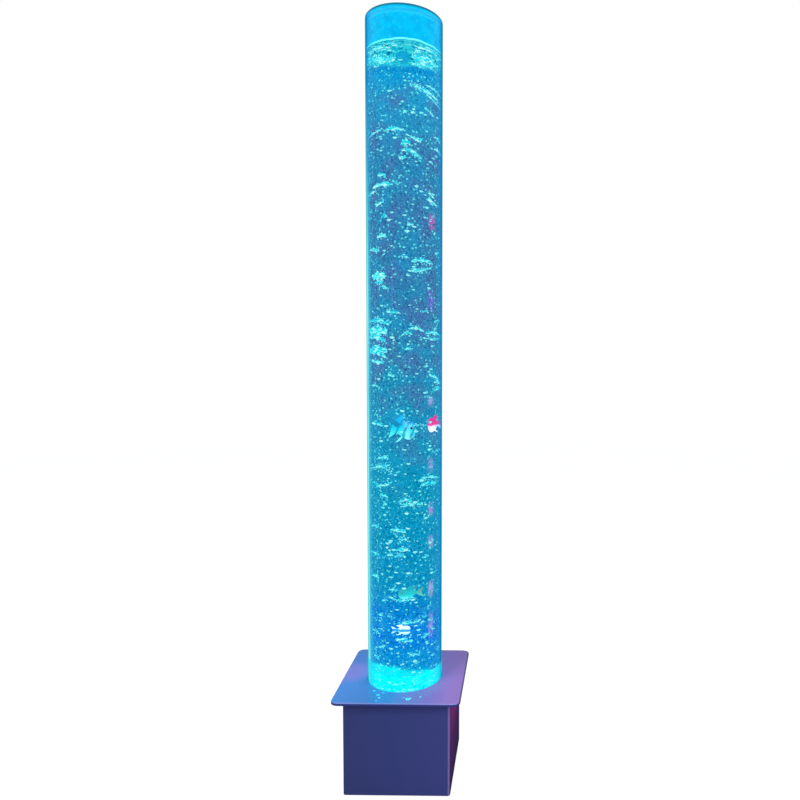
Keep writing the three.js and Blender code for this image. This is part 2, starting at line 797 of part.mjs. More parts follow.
// Coil: a wound block round the core's middle leg
function pumpCoil() {
  const width = coreLeg + 2 * fit + 2 * coilWall;
  const height = coreDepth + 2 * fit + 2 * coilWall;
  const outline = roundedRectangle(height, width, coilWall / 2);
  const bore = roundedRectangle(coreDepth + 2 * fit, coreLeg + 2 * fit, fit);
  outline.holes.push(bore);
  const start = coreBack + coreLeg + fit;
  return merged(pointRight(slab(outline, start, start + coilLength)));
}

// Arm: a flat bar from the pivot barrel to the magnet's end plate
function pumpArm() {
  const half = armHeight / 2;
  const barrelRadius = pivotRadius * 2;
  const bar = block(
    [pivotX - armLength, -armThickness / 2, -half],
    [pivotX - pivotRadius - fit, armThickness / 2, half]);
  const barrel = rod(barrelRadius, -half, half).translate(pivotX, 0, 0);
  const endPlate = block(
    [pivotX - armLength, -magnetWidth / 2, -half],
    [pivotX - armLength + armThickness, magnetWidth / 2, half]);
  const bore = rod(pivotRadius + fit, -half - overrun, half + overrun).translate(pivotX, 0, 0);
  return carve(bar, { joined: [barrel, endPlate], cuts: [bore] });
}

function pumpMagnet() {
  const half = armHeight / 2;
  return block([magnetFace, -magnetWidth / 2, -half], [magnetFace + magnetLength, magnetWidth / 2, half]);
}

// Diaphragm: a rubber cup whose hub sits on the arm
const hubShare = 0.4;
const wallFootShare = 0.55;

function pumpDiaphragm() {
  const hub = diaphragmRadius * hubShare;
  const shoulder = diaphragmRadius * wallFootShare;
  const top = diaphragmHeight;
  const cup = lathe([
    [0, 0],
    [hub, 0],
    [shoulder, top - diaphragmWall],
    [diaphragmRadius, top - diaphragmWall],
    [diaphragmRadius, top],
    [shoulder - diaphragmWall / 2, top],
    [hub - diaphragmWall, diaphragmWall],
    [0, diaphragmWall],
  ], roundSides / 2);
  return pointBack(cup).translate(diaphragmX, diaphragmFoot, 0);
}

// Chamber: a round cup facing the diaphragm, a foot and an outlet through the case wall
const chamberMouthShare = 0.72;
const chamberMouthDepth = 3;

function pumpChamber() {
  const mouth = chamberRadius * chamberMouthShare;
  const wallFace = pumpWidth / 2;
  const turned = lathe([
    [airPassage, chamberFace + chamberMouthDepth],
    [mouth, chamberFace + chamberMouthDepth],
    [mouth, chamberFace],
    [chamberRadius, chamberFace],
    [chamberRadius, chamberBack],
    [outletNeckRadius, chamberBack],
    [outletNeckRadius, wallFace],
    [airBarbRadius, wallFace],
    [airBarbRadius, outletTip],
    [airPassage, outletTip],
    [airPassage, chamberFace + chamberMouthDepth],
  ], roundSides / 2);
  const footHalf = chamberRadius / 2;
  const pedestal = block(
    [-footHalf, chamberBack - chamberLength / 2, floorTop + fit],
    [footHalf, chamberBack, -chamberRadius + chamberMouthDepth]);
  return carve(pointBack(turned), { joined: [pedestal] }).translate(diaphragmX, 0, 0);
}

// Rubber pad that the pump stands on, with three long relief slots
const padSlotCount = 3;
const padMargin = 8;

function pumpPad() {
  const [length, width] = [pumpLength - padMargin, pumpWidth - padMargin];
  const shape = roundedRectangle(length, width, pumpCornerRadius);
  const pitch = width / padSlotCount;
  const slots = [];
  for (let i = 0; i < padSlotCount; i += 1) {
    const y = (i - (padSlotCount - 1) / 2) * pitch;
    slots.push(block(
      [-length / 2 + padMargin, y - pitch / 4, pumpPadBottom - overrun],
      [length / 2 - padMargin, y + pitch / 4, pumpPadBottom + pumpPadThickness + overrun]));
  }
  const mat = carve(slab(shape, pumpPadBottom, pumpPadBottom + pumpPadThickness), { cuts: slots });
  return mat.translate(pumpX, pumpY, 0);
}

// Pump hose from the outlet barb, bending up to the check valve
const pumpHoseSteps = 10;

function pumpHose() {
  const startY = pumpY + pumpWidth / 2 + fit;
  const x = pumpX + diaphragmX;
  const route = bentRoute([
    [x, startY, pumpZ],
    [x, startY + airBarbLength + fit, pumpZ],
    [0, checkValveBack, valveBottom - airBarbLength - fit],
    [0, checkValveBack, valveBottom - fit],
  ]);
  return along(route, airHoseRadius, airHoseBore, pumpHoseSteps);
}

// Drain tap body: ball chamber, hose barb on top, spout to the rear and a boss for the stem
const ballRings = 8;
const tapCavityRadius = tapBallRadius + 2 * fit;
const tapTop = tapHeight + tapBodyHeight / 2;
const tapBottom = tapHeight - tapBodyHeight / 2;
const bossRadius = tapStemRadius * 2;
const bossEnd = tapBodyRadius + fit;
const spoutEnd = tapInset + boxWall / 2;

function drainTap() {
  const chamber = rod(tapBodyRadius, tapBottom, tapTop, roundSides / 2);
  const barb = rod(drainBarbRadius, tapTop - overrun / 2, tapTop + drainBarbLength);
  const downPipe = rod(tapPipeRadius, spoutHeight, tapBottom + overrun / 2);
  const elbow = new THREE.SphereGeometry(tapPipeRadius, smallSides, smallSides / 2)
    .translate(0, 0, spoutHeight);
  const spout = pointBack(rod(tapPipeRadius, 0, spoutEnd)).translate(0, 0, spoutHeight);
  const boss = pointBack(rod(bossRadius, 0, bossEnd)).translate(0, 0, tapHeight);
  const cavity = new THREE.SphereGeometry(tapCavityRadius, smallSides, ballRings)
    .translate(0, 0, tapHeight);
  const passage = rod(drainPassage, tapHeight, tapTop + drainBarbLength + overrun);
  const downBore = rod(tapBoreRadius, spoutHeight, tapHeight);
  const spoutBore = pointBack(rod(tapBoreRadius, -tapBoreRadius, spoutEnd + overrun))
    .translate(0, 0, spoutHeight);
  const stemBore = pointBack(rod(tapStemRadius + fit, 0, bossEnd + overrun))
    .translate(0, 0, tapHeight);
  const joined = [barb, downPipe, elbow, spout, boss];
  const cuts = [cavity, passage, downBore, spoutBore, stemBore];
  return carve(chamber, { joined, cuts }).translate(tapX, tapY, 0);
}

// Ball with its stem, shut at rest: its bore lies across the flow
const leverFace = bossEnd + fit;
const stemEnd = leverFace + leverThickness;

function tapBall() {
  const ball = new THREE.SphereGeometry(tapBallRadius, smallSides, ballRings);
  const stem = pointBack(rod(tapStemRadius, tapBallRadius / 2, stemEnd));
  const bore = pointRight(rod(tapBoreRadius, -tapBallRadius - overrun, tapBallRadius + overrun));
  return carve(ball, { joined: [stem], cuts: [bore] }).translate(tapX, tapY, tapHeight);
}

// Lever on the stem: lies across the pipe when the tap is shut
function tapLever() {
  const hub = leverWidth / 2 + 1.5 * fit;
  const tip = leverWidth / 3;
  const quarter = Math.PI / 2;
  const shape = new THREE.Shape([
    ...arc(0, 0, hub, -quarter, quarter, 2 * cornerSteps),
    ...arc(-leverLength + tip, 0, tip, quarter, 3 * quarter, 2 * cornerSteps),
  ]);
  const handle = pointBack(slab(shape, leverFace, leverFace + leverThickness));
  const hole = pointBack(rod(tapStemRadius + fit, leverFace - overrun, stemEnd + overrun));
  return carve(handle, { cuts: [hole] }).translate(tapX, tapY, tapHeight);
}

// Saddle under the spout, standing on the bottom cover
const saddleWall = 4;

function tapSaddle() {
  const half = tapPipeRadius + saddleWall;
  const stand = block([-half, -half, coverTop + fit], [half, half, spoutHeight]);
  const pipe = pointBack(rod(tapPipeRadius + fit, -half - overrun, half + overrun))
    .translate(0, 0, spoutHeight);
  return carve(stand, { cuts: [pipe] }).translate(tapX, tapY, 0);
}

// Drain hose from the plug's drain fitting down to the tap
const drainHoseSteps = 11;

function drainHose() {
  const bottom = tapTop + fit;
  const route = bentRoute([
    [drainRight, drainBack, plugBottom - 2 * fit - fittingCollarHeight],
    [drainRight, drainBack, shelfBottom],
    [tapX, tapY, bottom + drainBarbLength + fit],
    [tapX, tapY, bottom],
  ]);
  return along(route, drainHoseRadius, drainHoseBore, drainHoseSteps);
}

// Tray on the left wall with four standoffs that carry the board
const boardFace = -inside + fit + trayThickness + standoffHeight + fit;
const boardFront = boardFace + boardThickness;
const standoffInset = 6;

function standoffPlaces() {
  const y = boardWidth / 2 - standoffInset;
  const z = boardHeight / 2 - standoffInset;
  return [[-y, -z], [y, -z], [-y, z], [y, z]];
}

function boardTray() {
  const wallFace = -inside + fit;
  const halfY = boardWidth / 2 + standoffRadius;
  const sheet = block(
    [wallFace, -halfY, -boardHeight / 2], [wallFace + trayThickness, halfY, boardHeight / 2]);
  const joined = standoffPlaces().map(([y, z]) => {
    return pointRight(rod(standoffRadius, trayThickness / 2, trayThickness + standoffHeight))
      .translate(wallFace, y, z);
  });
  return carve(sheet, { joined }).translate(0, boardBack, boardBottom + boardHeight / 2);
}

// Controller board with its terminals, capacitors, chip and a coiled radio aerial in its can
const terminalShares = { power: 0.4, switch: 0.18, lamps: -0.1, pump: -0.38 };
const chipSize = 16;
const chipHeight = 3;
const capacitorRadius = 5;
const capacitorHeight = 14;
const radioWidth = 22;
const radioHeight = 4;
const aerialRadius = 1.6;
const aerialLength = 18;

function onBoard(y, z, width, height, rise) {
  return block(
    [boardFace + boardThickness / 2, y - width / 2, z - height / 2],
    [boardFront + rise, y + width / 2, z + height / 2]);
}

function controllerBoard() {
  const middleZ = boardBottom + boardHeight / 2;
  const sheet = block(
    [boardFace, boardBack - boardWidth / 2, boardBottom],
    [boardFront, boardBack + boardWidth / 2, boardTop]);
  const terminals = Object.values(terminalShares).map((share) => {
    const y = boardBack + share * boardWidth;
    return onBoard(y, boardBottom + terminalWidth / 2, terminalWidth, terminalWidth, terminalDepth);
  });
  const chip = onBoard(boardBack - boardWidth / 8, middleZ, chipSize, chipSize, chipHeight);
  const radio = onBoard(
    boardBack + boardWidth / 4, boardTop - radioWidth / 2, radioWidth, radioWidth / 2, radioHeight);
  const aerial = rod(aerialRadius, boardTop - radioWidth / 2, boardTop + aerialLength / 4)
    .translate(boardFront + radioHeight / 2, boardBack + boardWidth / 4, 0);
  const capacitors = [-1, 1].map((side) => {
    return pointRight(rod(capacitorRadius, 0, boardThickness / 2 + capacitorHeight))
      .translate(boardFace + boardThickness / 2, boardBack + side * capacitorRadius * 1.5
        - boardWidth / 3, boardTop - capacitorRadius * 2);
  });
  return carve(sheet, { joined: [...terminals, chip, radio, aerial, ...capacitors] });
}

// Power inlet: a round barrel socket with a centre pin, held by a nut inside the wall
function powerInlet() {
  const seat = inletDepth;
  const end = seat + inletFlangeThickness;
  const socketFloor = end - inletDepth / 2;
  const turned = lathe([
    [0, 0],
    [inletRadius, 0],
    [inletRadius, seat],
    [inletFlangeRadius, seat],
    [inletFlangeRadius, end],
    [inletBoreRadius, end],
    [inletBoreRadius, socketFloor],
    [inletPinRadius, socketFloor],
    [inletPinRadius, end - inletPinRadius],
    [0, end - inletPinRadius],
  ], smallSides);
  return pointBack(turned).translate(inletX, rearFace + fit - inletDepth, inletHeight);
}

function inletNut() {
  const shape = new THREE.Shape(circle(nutRadius, nutSides).getPoints());
  shape.holes.push(circle(inletRadius + 2 * fit, smallSides));
  const back = inside - fit;
  const nut = pointBack(slab(shape, 0, nutThickness));
  return merged(nut.translate(inletX, back - nutThickness, inletHeight));
}

// Switch body: a bezel outside the wall, a well for the rocker and two blades inside
const bladeLength = 7;
const bladeWidth = 5;
const bladeThickness = 0.8;

function switchBody() {
  const [halfX, halfZ] = [switchWidth / 2, switchLength / 2];
  const front = rearFace + fit;
  const body = block([-halfX, front - switchDepth, -halfZ], [halfX, front + switchBezel / 2, halfZ]);
  const bezel = block(
    [-halfX - switchBezel, front, -halfZ - switchBezel],
    [halfX + switchBezel, front + switchBezel, halfZ + switchBezel]);
  const well = block(
    [-rockerWidth / 2 - fit, front - rockerLength / 2, -rockerLength / 2 - 2 * fit],
    [rockerWidth / 2 + fit, front + switchBezel + overrun, rockerLength / 2 + 2 * fit]);
  const blades = [-1, 1].map((side) => {
    const z = (side * switchLength) / 4;
    return block(
      [-bladeWidth / 2, front - switchDepth - bladeLength, z - bladeThickness / 2],
      [bladeWidth / 2, front - switchDepth + overrun, z + bladeThickness / 2]);
  });
  return carve(body, { joined: [bezel, ...blades], cuts: [well] }).translate(inletX, 0, switchHeight);
}

// Rocker: a shallow V across its pivot, leaning to one side at rest
const rockerRise = 2.4;
const rockerDepth = 3;
const pivotY = rearFace + fit;

function rocker() {
  const half = rockerLength / 2;
  const shape = new THREE.Shape([
    [-half, rockerRise], [-half + rockerDepth / 2, -rockerDepth], [half - rockerDepth / 2, -rockerDepth],
    [half, rockerRise], [0, rockerRise / 2],
  ].map(([x, y]) => new THREE.Vector2(x, y)));
  return merged(slab(shape, -rockerWidth / 2, rockerWidth / 2).rotateY(-Math.PI / 2));
}

// Leads inside the base, each from its terminal on the board to what it feeds
const leadSteps = 12;
const leadRun = 12;

function terminalMouth(name) {
  return [boardFront + terminalDepth / 2, boardBack + terminalShares[name] * boardWidth, boardBottom - fit];
}

function boardLead(name, route) {
  const [x, y, z] = terminalMouth(name);
  const points = [[x, y, z], [x, y, z - leadRun / 2], ...route];
  const curve = new THREE.CatmullRomCurve3(points.map((point) => new THREE.Vector3(...point)));
  return along(curve, leadRadius, 0, leadSteps, leadSides);
}

function powerLead() {
  const start = rearFace - inletDepth;
  return boardLead("power", [
    [inletX - leadRun * 2, start - leadRun * 2, inletHeight],
    [inletX - leadRun / 2, start - leadRun * 1.5, inletHeight],
    [inletX, start - leadRun / 2, inletHeight],
    [inletX, start, inletHeight],
  ]);
}

function switchLead() {
  const start = rearFace - switchDepth - bladeLength;
  const [x, y] = terminalMouth("switch");
  return boardLead("switch", [
    [x + leadRun, y + leadRun / 4, boardBottom - leadRun],
    [x + leadRun * 2, y + leadRun, boardBottom + leadRun / 2],
    [inletX, start - leadRun, switchHeight - leadRun / 2],
    [inletX, start, switchHeight],
  ]);
}

function lampLead() {
  const [x, y] = terminalMouth("lamps");
  const reach = ledBoardRadius * ledPlugShare + ledPlugWidth / 2 + fit;
  const [cos, sin] = [Math.cos(leadAngle), Math.sin(leadAngle)];
  const level = ledBoardTop + ledPlugHeight / 2;
  return boardLead("lamps", [
    [x + leadRun, y, boardBottom - leadRun],
    [x + 2 * leadRun, y + leadRun / 2, boardBottom + leadRun],
    [-drainRight, drainBack, shelfBottom - leadRun],
    [-drainRight, drainBack, shelfTop],
    [(reach + leadRun / 2) * cos, (reach + leadRun / 2) * sin, level],
    [reach * cos, reach * sin, level],
  ]);
}

function pumpLead() {
  const [x, y] = terminalMouth("pump");
  const startX = pumpX - pumpLength / 2 - fit;
  const startY = pumpY + coreWidth / 2;
  const level = pumpZ + caseFloor / 2;
  return boardLead("pump", [
    [x + leadRun / 4, y - leadRun / 2, (boardBottom + level) / 2],
    [(x + startX) / 2, (y + startY) / 2 - leadRun / 4, level],
    [startX - leadRun / 4, startY, level],
    [startX, startY, level],
  ]);
}

// Fish: an oval body that tapers to the tail, with a forked tail and fins on back and belly
const fishStations = 10;
const fishRingPoints = 10;
const tailRootShare = 0.2;        // of the body's height
const bodyShare = 0.74;           // of the fish's length, the rest is tail
const noseShare = 0.62;           // how far forward the body is fullest: lower is further
const swellShare = 0.75;          // how round the body's outline is: lower is rounder

function fishGirth(u) {
  const swell = Math.sin(Math.PI * u ** noseShare) ** swellShare;
  return Math.max(swell, tailRootShare * Math.sqrt(u));
}

function fishBody(length, height) {
  const bodyLength = length * bodyShare;
  const positions = [];
  const indices = [];
  for (let i = 0; i <= fishStations; i += 1) {
    const u = i / fishStations;
    const girth = i === 0 ? 0 : fishGirth(u);
    for (let j = 0; j < fishRingPoints; j += 1) {
      const angle = (2 * Math.PI * j) / fishRingPoints;
      const across = (Math.cos(angle) * girth * fishThickness) / 2;
      const up = (Math.sin(angle) * girth * height) / 2;
      positions.push(length / 2 - u * bodyLength, across, up);
    }
  }
  for (let i = 0; i < fishStations; i += 1) {
    for (let j = 0; j < fishRingPoints; j += 1) {
      const next = (j + 1) % fishRingPoints;
      const [a, b] = [i * fishRingPoints + j, i * fishRingPoints + next];
      const [c, d] = [a + fishRingPoints, b + fishRingPoints];
      indices.push(a, d, b, a, c, d);
    }
  }
  const last = fishStations * fishRingPoints;
  for (let j = 1; j < fishRingPoints - 1; j += 1) indices.push(last, last + j + 1, last + j);
  const geometry = new THREE.BufferGeometry();
  geometry.setAttribute("position", new THREE.Float32BufferAttribute(positions, 3));
  geometry.setIndex(indices);
  return geometry;
}

// A fin is a flat curved outline in the fish's own plane, given in shares of length and height
function fin(length, height, shares) {
  const points = shares.map(([x, z]) => new THREE.Vector2(x * length, z * height));
  const sheet = slab(new THREE.Shape(points), -finThickness / 2, finThickness / 2);
  return sheet.rotateX(Math.PI / 2);
}

const tailShares = [[-0.18, 0.04], [-0.36, 0.36], [-0.5, 0.5], [-0.44, 0.2], [-0.42, 0],
  [-0.44, -0.2], [-0.5, -0.5], [-0.36, -0.36], [-0.18, -0.04]];
const backFinShares = [[0.2, 0.36], [0.06, 0.62], [-0.1, 0.64], [-0.08, 0.24], [0.05, 0.2]];
const bellyFinShares = [[0.1, -0.3], [-0.04, -0.6], [-0.14, -0.52], [-0.06, -0.2], [0.04, -0.18]];

function fish(length, height) {
  const fins = [tailShares, backFinShares, bellyFinShares].map((shares) => fin(length, height, shares));
  return carve(fishBody(length, height), { joined: fins });
}

// Each fish keeps close to the tube's wall: its bearing is measured from the front to the right
const school = [
  { name: "fish_striped", finish: "stripedFish", length: 50, height: 30, bearing: 0.081, riseShare: 0.396,
    heading: 1 },
  { name: "fish_pink", finish: "pinkFish", length: 46, height: 27, bearing: 1.28, riseShare: 0.402,
    heading: -1 },
  { name: "fish_green", finish: "greenFish", length: 48, height: 23, bearing: 0.352, riseShare: 0.149,
    heading: -1 },
  { name: "fish_white", finish: "whiteFish", length: 36, height: 18, bearing: 0.036, riseShare: 0.0926,
    heading: 1 },
];

function placeFish({ name, finish, length, height, bearing, riseShare, heading }) {
  const reach = boreRadius - fishInset;
  const swimmer = new THREE.Group();
  const level = plateTop + riseShare * tubeRise;
  swimmer.position.set(reach * Math.sin(bearing), -reach * Math.cos(bearing), level);
  swimmer.rotation.z = bearing + (heading > 0 ? 0 : Math.PI);
  part.add(swimmer);
  add(name, fish(length, height), finish, swimmer);
}

// The base
add("base_box", baseBox(), "indigoLacquer");
add("top_plate", topPlate(), "blueGloss");
add("bottom_cover", bottomCover(), "board");
for (const [name, x, y] of corners) {
  add(`foot_${name}`, foot(), "rubber").position.set(x * footCentre, y * footCentre, 0);
  add(`corner_post_${name}`, cornerPost(), "wood").position.set(x * postCentre, y * postCentre, 0);
  const coverScrew = add(`cover_screw_${name}`, screw(coverScrewLength), "steel");
  coverScrew.position.set(x * postCentre, y * postCentre, boxBottom);
  const flangeScrew = add(`flange_screw_${name}`, screw(flangeScrewLength).rotateX(Math.PI), "steel");
  flangeScrew.position.set(x * postCentre, y * postCentre, flangeTop + screwHeadHeight + fit);
}
add("shelf", shelf(), "board");

// The tube and what closes it
add("tube", ring(tubeRadius, boreRadius, tubeFoot, rim, tubeSides), "clearAcrylic");
add("tube_plug", tubePlug(), "cyanAcrylic");
add("tube_flange", tubeFlange(), "clearAcrylic");
add("lid", lid(), "frostedAcrylic");
add("lid_seal", lidSeal(), "hose");

// The lamps
add("heat_sink", heatSink(), "aluminium");
add("led_board", ledBoard(), "whiteCircuit");

// The air line and the pump
add("air_nozzle", plugFitting(airBarbRadius, airPassage, airBarbLength), "brass");
add("air_hose", airHose(), "hose");
add("check_valve", checkValve(), "greyPlastic");
add("pump_hose", pumpHose(), "hose");
add("pump_pad", pumpPad(), "rubber");
add("pump_case", pumpCase(), "greyPlastic", pump);
add("pump_cover", pumpCover(), "greyPlastic", pump);
add("pump_core", pumpCore(), "steel", pump);
add("pump_coil", pumpCoil(), "copper", pump);
add("pump_arm", pumpArm(), "steel", pump);
add("pump_magnet", pumpMagnet(), "steel", pump);
add("pump_diaphragm", pumpDiaphragm(), "rubber", pump);
add("pump_chamber", pumpChamber(), "blackPlastic", pump);

// The drain
add("drain_fitting", plugFitting(drainBarbRadius, drainPassage, drainBarbLength), "brass")
  .position.set(drainRight, drainBack, 0);
add("drain_hose", drainHose(), "hose");
add("drain_tap", drainTap(), "brass");
add("drain_ball", tapBall(), "steel");
add("drain_lever", tapLever(), "redPlastic");
add("drain_saddle", tapSaddle(), "blackPlastic");

// The electrics
add("board_tray", boardTray(), "blackPlastic");
add("controller_board", controllerBoard(), "circuit");
add("power_inlet", powerInlet(), "blackPlastic");
add("inlet_nut", inletNut(), "steel");
add("switch_body", switchBody(), "blackPlastic");
const rockerMesh = add("switch_rocker", rocker(), "blackPlastic");
rockerMesh.position.set(inletX, pivotY, switchHeight);
rockerMesh.rotation.x = rockerTilt;
add("power_lead", powerLead(), "blackPlastic");
add("switch_lead", switchLead(), "blackPlastic");
add("lamp_lead", lampLead(), "blackPlastic");
add("pump_lead", pumpLead(), "blackPlastic");

// The fish
for (const one of school) placeFish(one);

export default part;
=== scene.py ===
# %% [markdown]
# The lamp is a tall clear acrylic tube of lit water with rising bubbles and plastic fish. It stands on a
# lacquered square box that hides the lamps, the air pump and the drain tap. The working parts come from
# the packed model, which fixes every size, so the first step loads it and measures what the looks need.

# %% Load the packed lamp and measure it
import math

import bmesh
import bpy
import numpy as np
from mathutils import Matrix, Vector


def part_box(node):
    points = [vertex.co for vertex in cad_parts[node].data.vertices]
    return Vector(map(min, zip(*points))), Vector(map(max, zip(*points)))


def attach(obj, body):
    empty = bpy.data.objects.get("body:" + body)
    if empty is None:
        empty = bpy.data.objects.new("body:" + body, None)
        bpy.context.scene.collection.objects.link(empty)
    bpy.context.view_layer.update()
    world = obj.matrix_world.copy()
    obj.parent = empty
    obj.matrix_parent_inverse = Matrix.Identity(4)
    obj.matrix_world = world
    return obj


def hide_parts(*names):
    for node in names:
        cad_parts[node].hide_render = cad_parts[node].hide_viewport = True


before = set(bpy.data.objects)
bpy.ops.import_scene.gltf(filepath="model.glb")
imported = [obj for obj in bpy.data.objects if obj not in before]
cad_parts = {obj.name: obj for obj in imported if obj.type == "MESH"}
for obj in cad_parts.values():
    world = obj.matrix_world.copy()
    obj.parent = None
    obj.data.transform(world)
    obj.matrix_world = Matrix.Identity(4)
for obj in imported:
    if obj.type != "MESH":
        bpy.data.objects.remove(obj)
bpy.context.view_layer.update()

MM = 0.001
tube_low, tube_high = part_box("tube")
plug_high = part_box("tube_plug")[1]
plate_low, plate_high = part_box("top_plate")
lid_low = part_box("lid")[0]
TUBE_RADIUS = tube_high[0]
TUBE_FOOT, RIM = tube_low[2], tube_high[2]
CLEARANCE = 0.3 * MM
BORE_RADIUS = plug_high[0] + CLEARANCE
PLATE_TOP, PLUG_TOP = plate_high[2], plug_high[2]
TUBE_RISE = RIM - PLATE_TOP
WATER_LEVEL = 1441 * MM
print("tube radius", round(TUBE_RADIUS, 4), "bore", round(BORE_RADIUS, 4), "rim", round(RIM, 4))

# %% [markdown]
# A painter writes a colour in sRGB, while shaders work in linear values, so one helper turns the one into
# the other. Another gives a pattern's scale from a real size, because a texture's scale is the number of
# its features in a metre.

# %% Colours and pattern scales
def linear(code, cover=1.0):
    """Linear red, green, blue and the cover (alpha) of an sRGB hex value: a share below 0.04045 is divided
    by 12.92, and any other is raised, with 0.055 added, over 1.055 to the power 2.4."""
    shares = [((code >> shift) & 255) / 255 for shift in (16, 8, 0)]
    return tuple(s / 12.92 if s < 0.04045 else ((s + 0.055) / 1.055) ** 2.4 for s in shares) + (cover,)


def as_tone(colour):
    """A whole number is a hex code, a decimal one a share of white, and anything else stays as it is."""
    if isinstance(colour, int):
        return linear(colour)
    return (colour, colour, colour, 1.0) if isinstance(colour, float) else colour


def per_metre(size):
    """A texture's scale for features of that size in millimetres."""
    return 1000 / size


print("mid blue in linear light", [round(share, 3) for share in linear(0x4080C0)])

# %% [markdown]
# The recipe of a finish is a tree of shader nodes. Written out in full, each node takes several lines, and
# the recipe is lost among them. So one helper adds any node with its settings and links, and a class gives
# the nodes that the lamp needs most a short name, which hands back an output to go on with.

# %% Shader nodes under short names
def put(tree, kind, inputs=None, stops=None, **settings):
    """Adds one node. Inputs map a socket to a value or to another node's output, and stops are a colour
    ramp's places with their colours."""
    node = tree.nodes.new("ShaderNode" + kind)
    for name, value in settings.items():
        setattr(node, name, value)
    for socket, value in (inputs or {}).items():
        if isinstance(value, bpy.types.NodeSocket):
            tree.links.new(value, node.inputs[socket])
        else:
            node.inputs[socket].default_value = value
    if stops:
        ramp = node.color_ramp
        ramp.elements.remove(ramp.elements[1])
        ramp.elements[0].position, ramp.elements[0].color = stops[0]
        for place, colour in stops[1:]:
            ramp.elements.new(place).color = colour
    return node


class Look:
    """A material in the making. Each of its short names adds one node and gives back its output."""

    def __init__(self, name, **sockets):
        """A new material whose shader has these uniform sockets set directly."""
        self.material = bpy.data.materials.new(name)
        self.material.use_nodes = True
        self.tree = self.material.node_tree
        self.shader = self.tree.nodes["Principled BSDF"]
        for socket, value in sockets.items():
            self.shader.inputs[socket.replace("_", " ")].default_value = value

    def spot(self):
        """The place on the finished piece, in metres."""
        return put(self.tree, "TexCoord").outputs["Object"]

    def axes(self, vector):
        """The three parts of a vector."""
        return tuple(put(self.tree, "SeparateXYZ", {0: vector}).outputs)

    def facing(self, blend=0.5):
        """Nothing where the surface is seen face on, one where it is seen end on."""
        return put(self.tree, "LayerWeight", {"Blend": blend}).outputs["Facing"]

    def stretched(self, vector, scale):
        """A place whose axes are scaled, so that a pattern read there is drawn out or pressed."""
        return put(self.tree, "Mapping", {"Vector": vector, "Scale": scale}).outputs[0]

    def noise(self, vector, size, detail=2.0, **inputs):
        """Soft noise with features of that size in millimetres."""
        inputs.update(Vector=vector, Scale=per_metre(size), Detail=detail)
        return put(self.tree, "TexNoise", inputs).outputs[0]

    def cells(self, vector, size):
        """The distance from the middle of the nearest of many cells of that size in millimetres."""
        return put(self.tree, "TexVoronoi", {"Vector": vector, "Scale": per_metre(size)}).outputs["Distance"]

    def spread(self, value, start=0.0, end=1.0, low=0.0, high=1.0):
        """Low at the start value, high at the end value, and held there beyond them."""
        return put(self.tree, "MapRange", {0: value, 1: start, 2: end, 3: low, 4: high}).outputs[0]

    def scaled(self, value, factor, added=0.0):
        """The value times the factor plus what is added."""
        return self.sum_of("MULTIPLY_ADD", value, factor, added)

    def sum_of(self, operation, *values):
        """Arithmetic on numbers."""
        return put(self.tree, "Math", dict(enumerate(values)), operation=operation).outputs[0]

    def vector(self, operation, *values):
        """Arithmetic on places: a number for a distance or a length, and a place for anything else."""
        node = put(self.tree, "VectorMath", dict(enumerate(values)), operation=operation)
        return node.outputs["Value" if operation in ("DISTANCE", "LENGTH") else "Vector"]

    def ramp(self, value, stops):
        """The colour at a value, between stops of places and tones. Its node has the cover too."""
        stops = [(place, as_tone(colour)) for place, colour in stops]
        return put(self.tree, "ValToRGB", {0: value}, stops).outputs["Color"]

    def mix(self, share, first, second, blend="MIX"):
        """The first tone, with the second over it by a share."""
        return put(self.tree, "MixRGB", {0: share, 1: as_tone(first), 2: as_tone(second)},
                   blend_type=blend).outputs[0]

    def give(self, value, socket):
        """Links an output to a socket of the shader."""
        self.tree.links.new(value, self.shader.inputs[socket])

    def lit(self, colour, darkened=0.0):
        """A colour that glows. The paint below the glow is the same, or darker by that share."""
        self.give(colour, "Emission Color")
        self.give(self.mix(darkened, colour, 0x000000) if darkened else colour, "Base Color")

    def raised(self, height, strength, depth):
        """A relief whose depth is in millimetres."""
        inputs = {"Strength": strength, "Distance": depth * MM, "Height": height}
        self.give(put(self.tree, "Bump", inputs).outputs[0], "Normal")


print("a look can add", [name for name in vars(Look) if not name.startswith("_")])

# %% [markdown]
# The photograph was taken from a little to the right of the lamp and half its height up, with the film
# plane nearly upright. The lamp therefore stands left of the lens's axis, and a sideways shift of the film
# brings it to the middle of the picture while its vertical edges stay parallel.

# %% Camera
CAMERA_PLACE = (0.2324, -1.38095, 0.84518)
HEADING, PITCH, ROLL = (math.radians(angle) for angle in (0.168, -3.756, 0.534))
turns = [Matrix.Rotation(HEADING, 4, "Z"), Matrix.Rotation(math.pi / 2 + PITCH, 4, "X")]
camera_data = bpy.data.cameras.new("camera")
camera_data.sensor_width = 36
camera_data.lens = 30.8
camera_data.shift_x = -0.1471
camera_data.shift_y = 0.0093
camera = bpy.data.objects.new("camera", camera_data)
camera.matrix_world = (
    Matrix.Translation(CAMERA_PLACE) @ turns[0] @ turns[1] @ Matrix.Rotation(ROLL, 4, "Z")
)
bpy.context.scene.collection.objects.link(camera)
bpy.context.scene.camera = camera
print("camera at", CAMERA_PLACE, "lens", camera_data.lens)

# %% [markdown]
# Every new piece is a grid of points worked out as whole arrays. One helper knits such a grid into faces,
# closed round either way where the shape asks for it, and another puts the points into a mesh, merges the
# doubled points at seams and poles, and lets the piece ride on its body.

# %% Grids and pieces
def circle(steps):
    """That many angles, evenly spaced once round."""
    return np.linspace(0, 2 * np.pi, steps, endpoint=False)


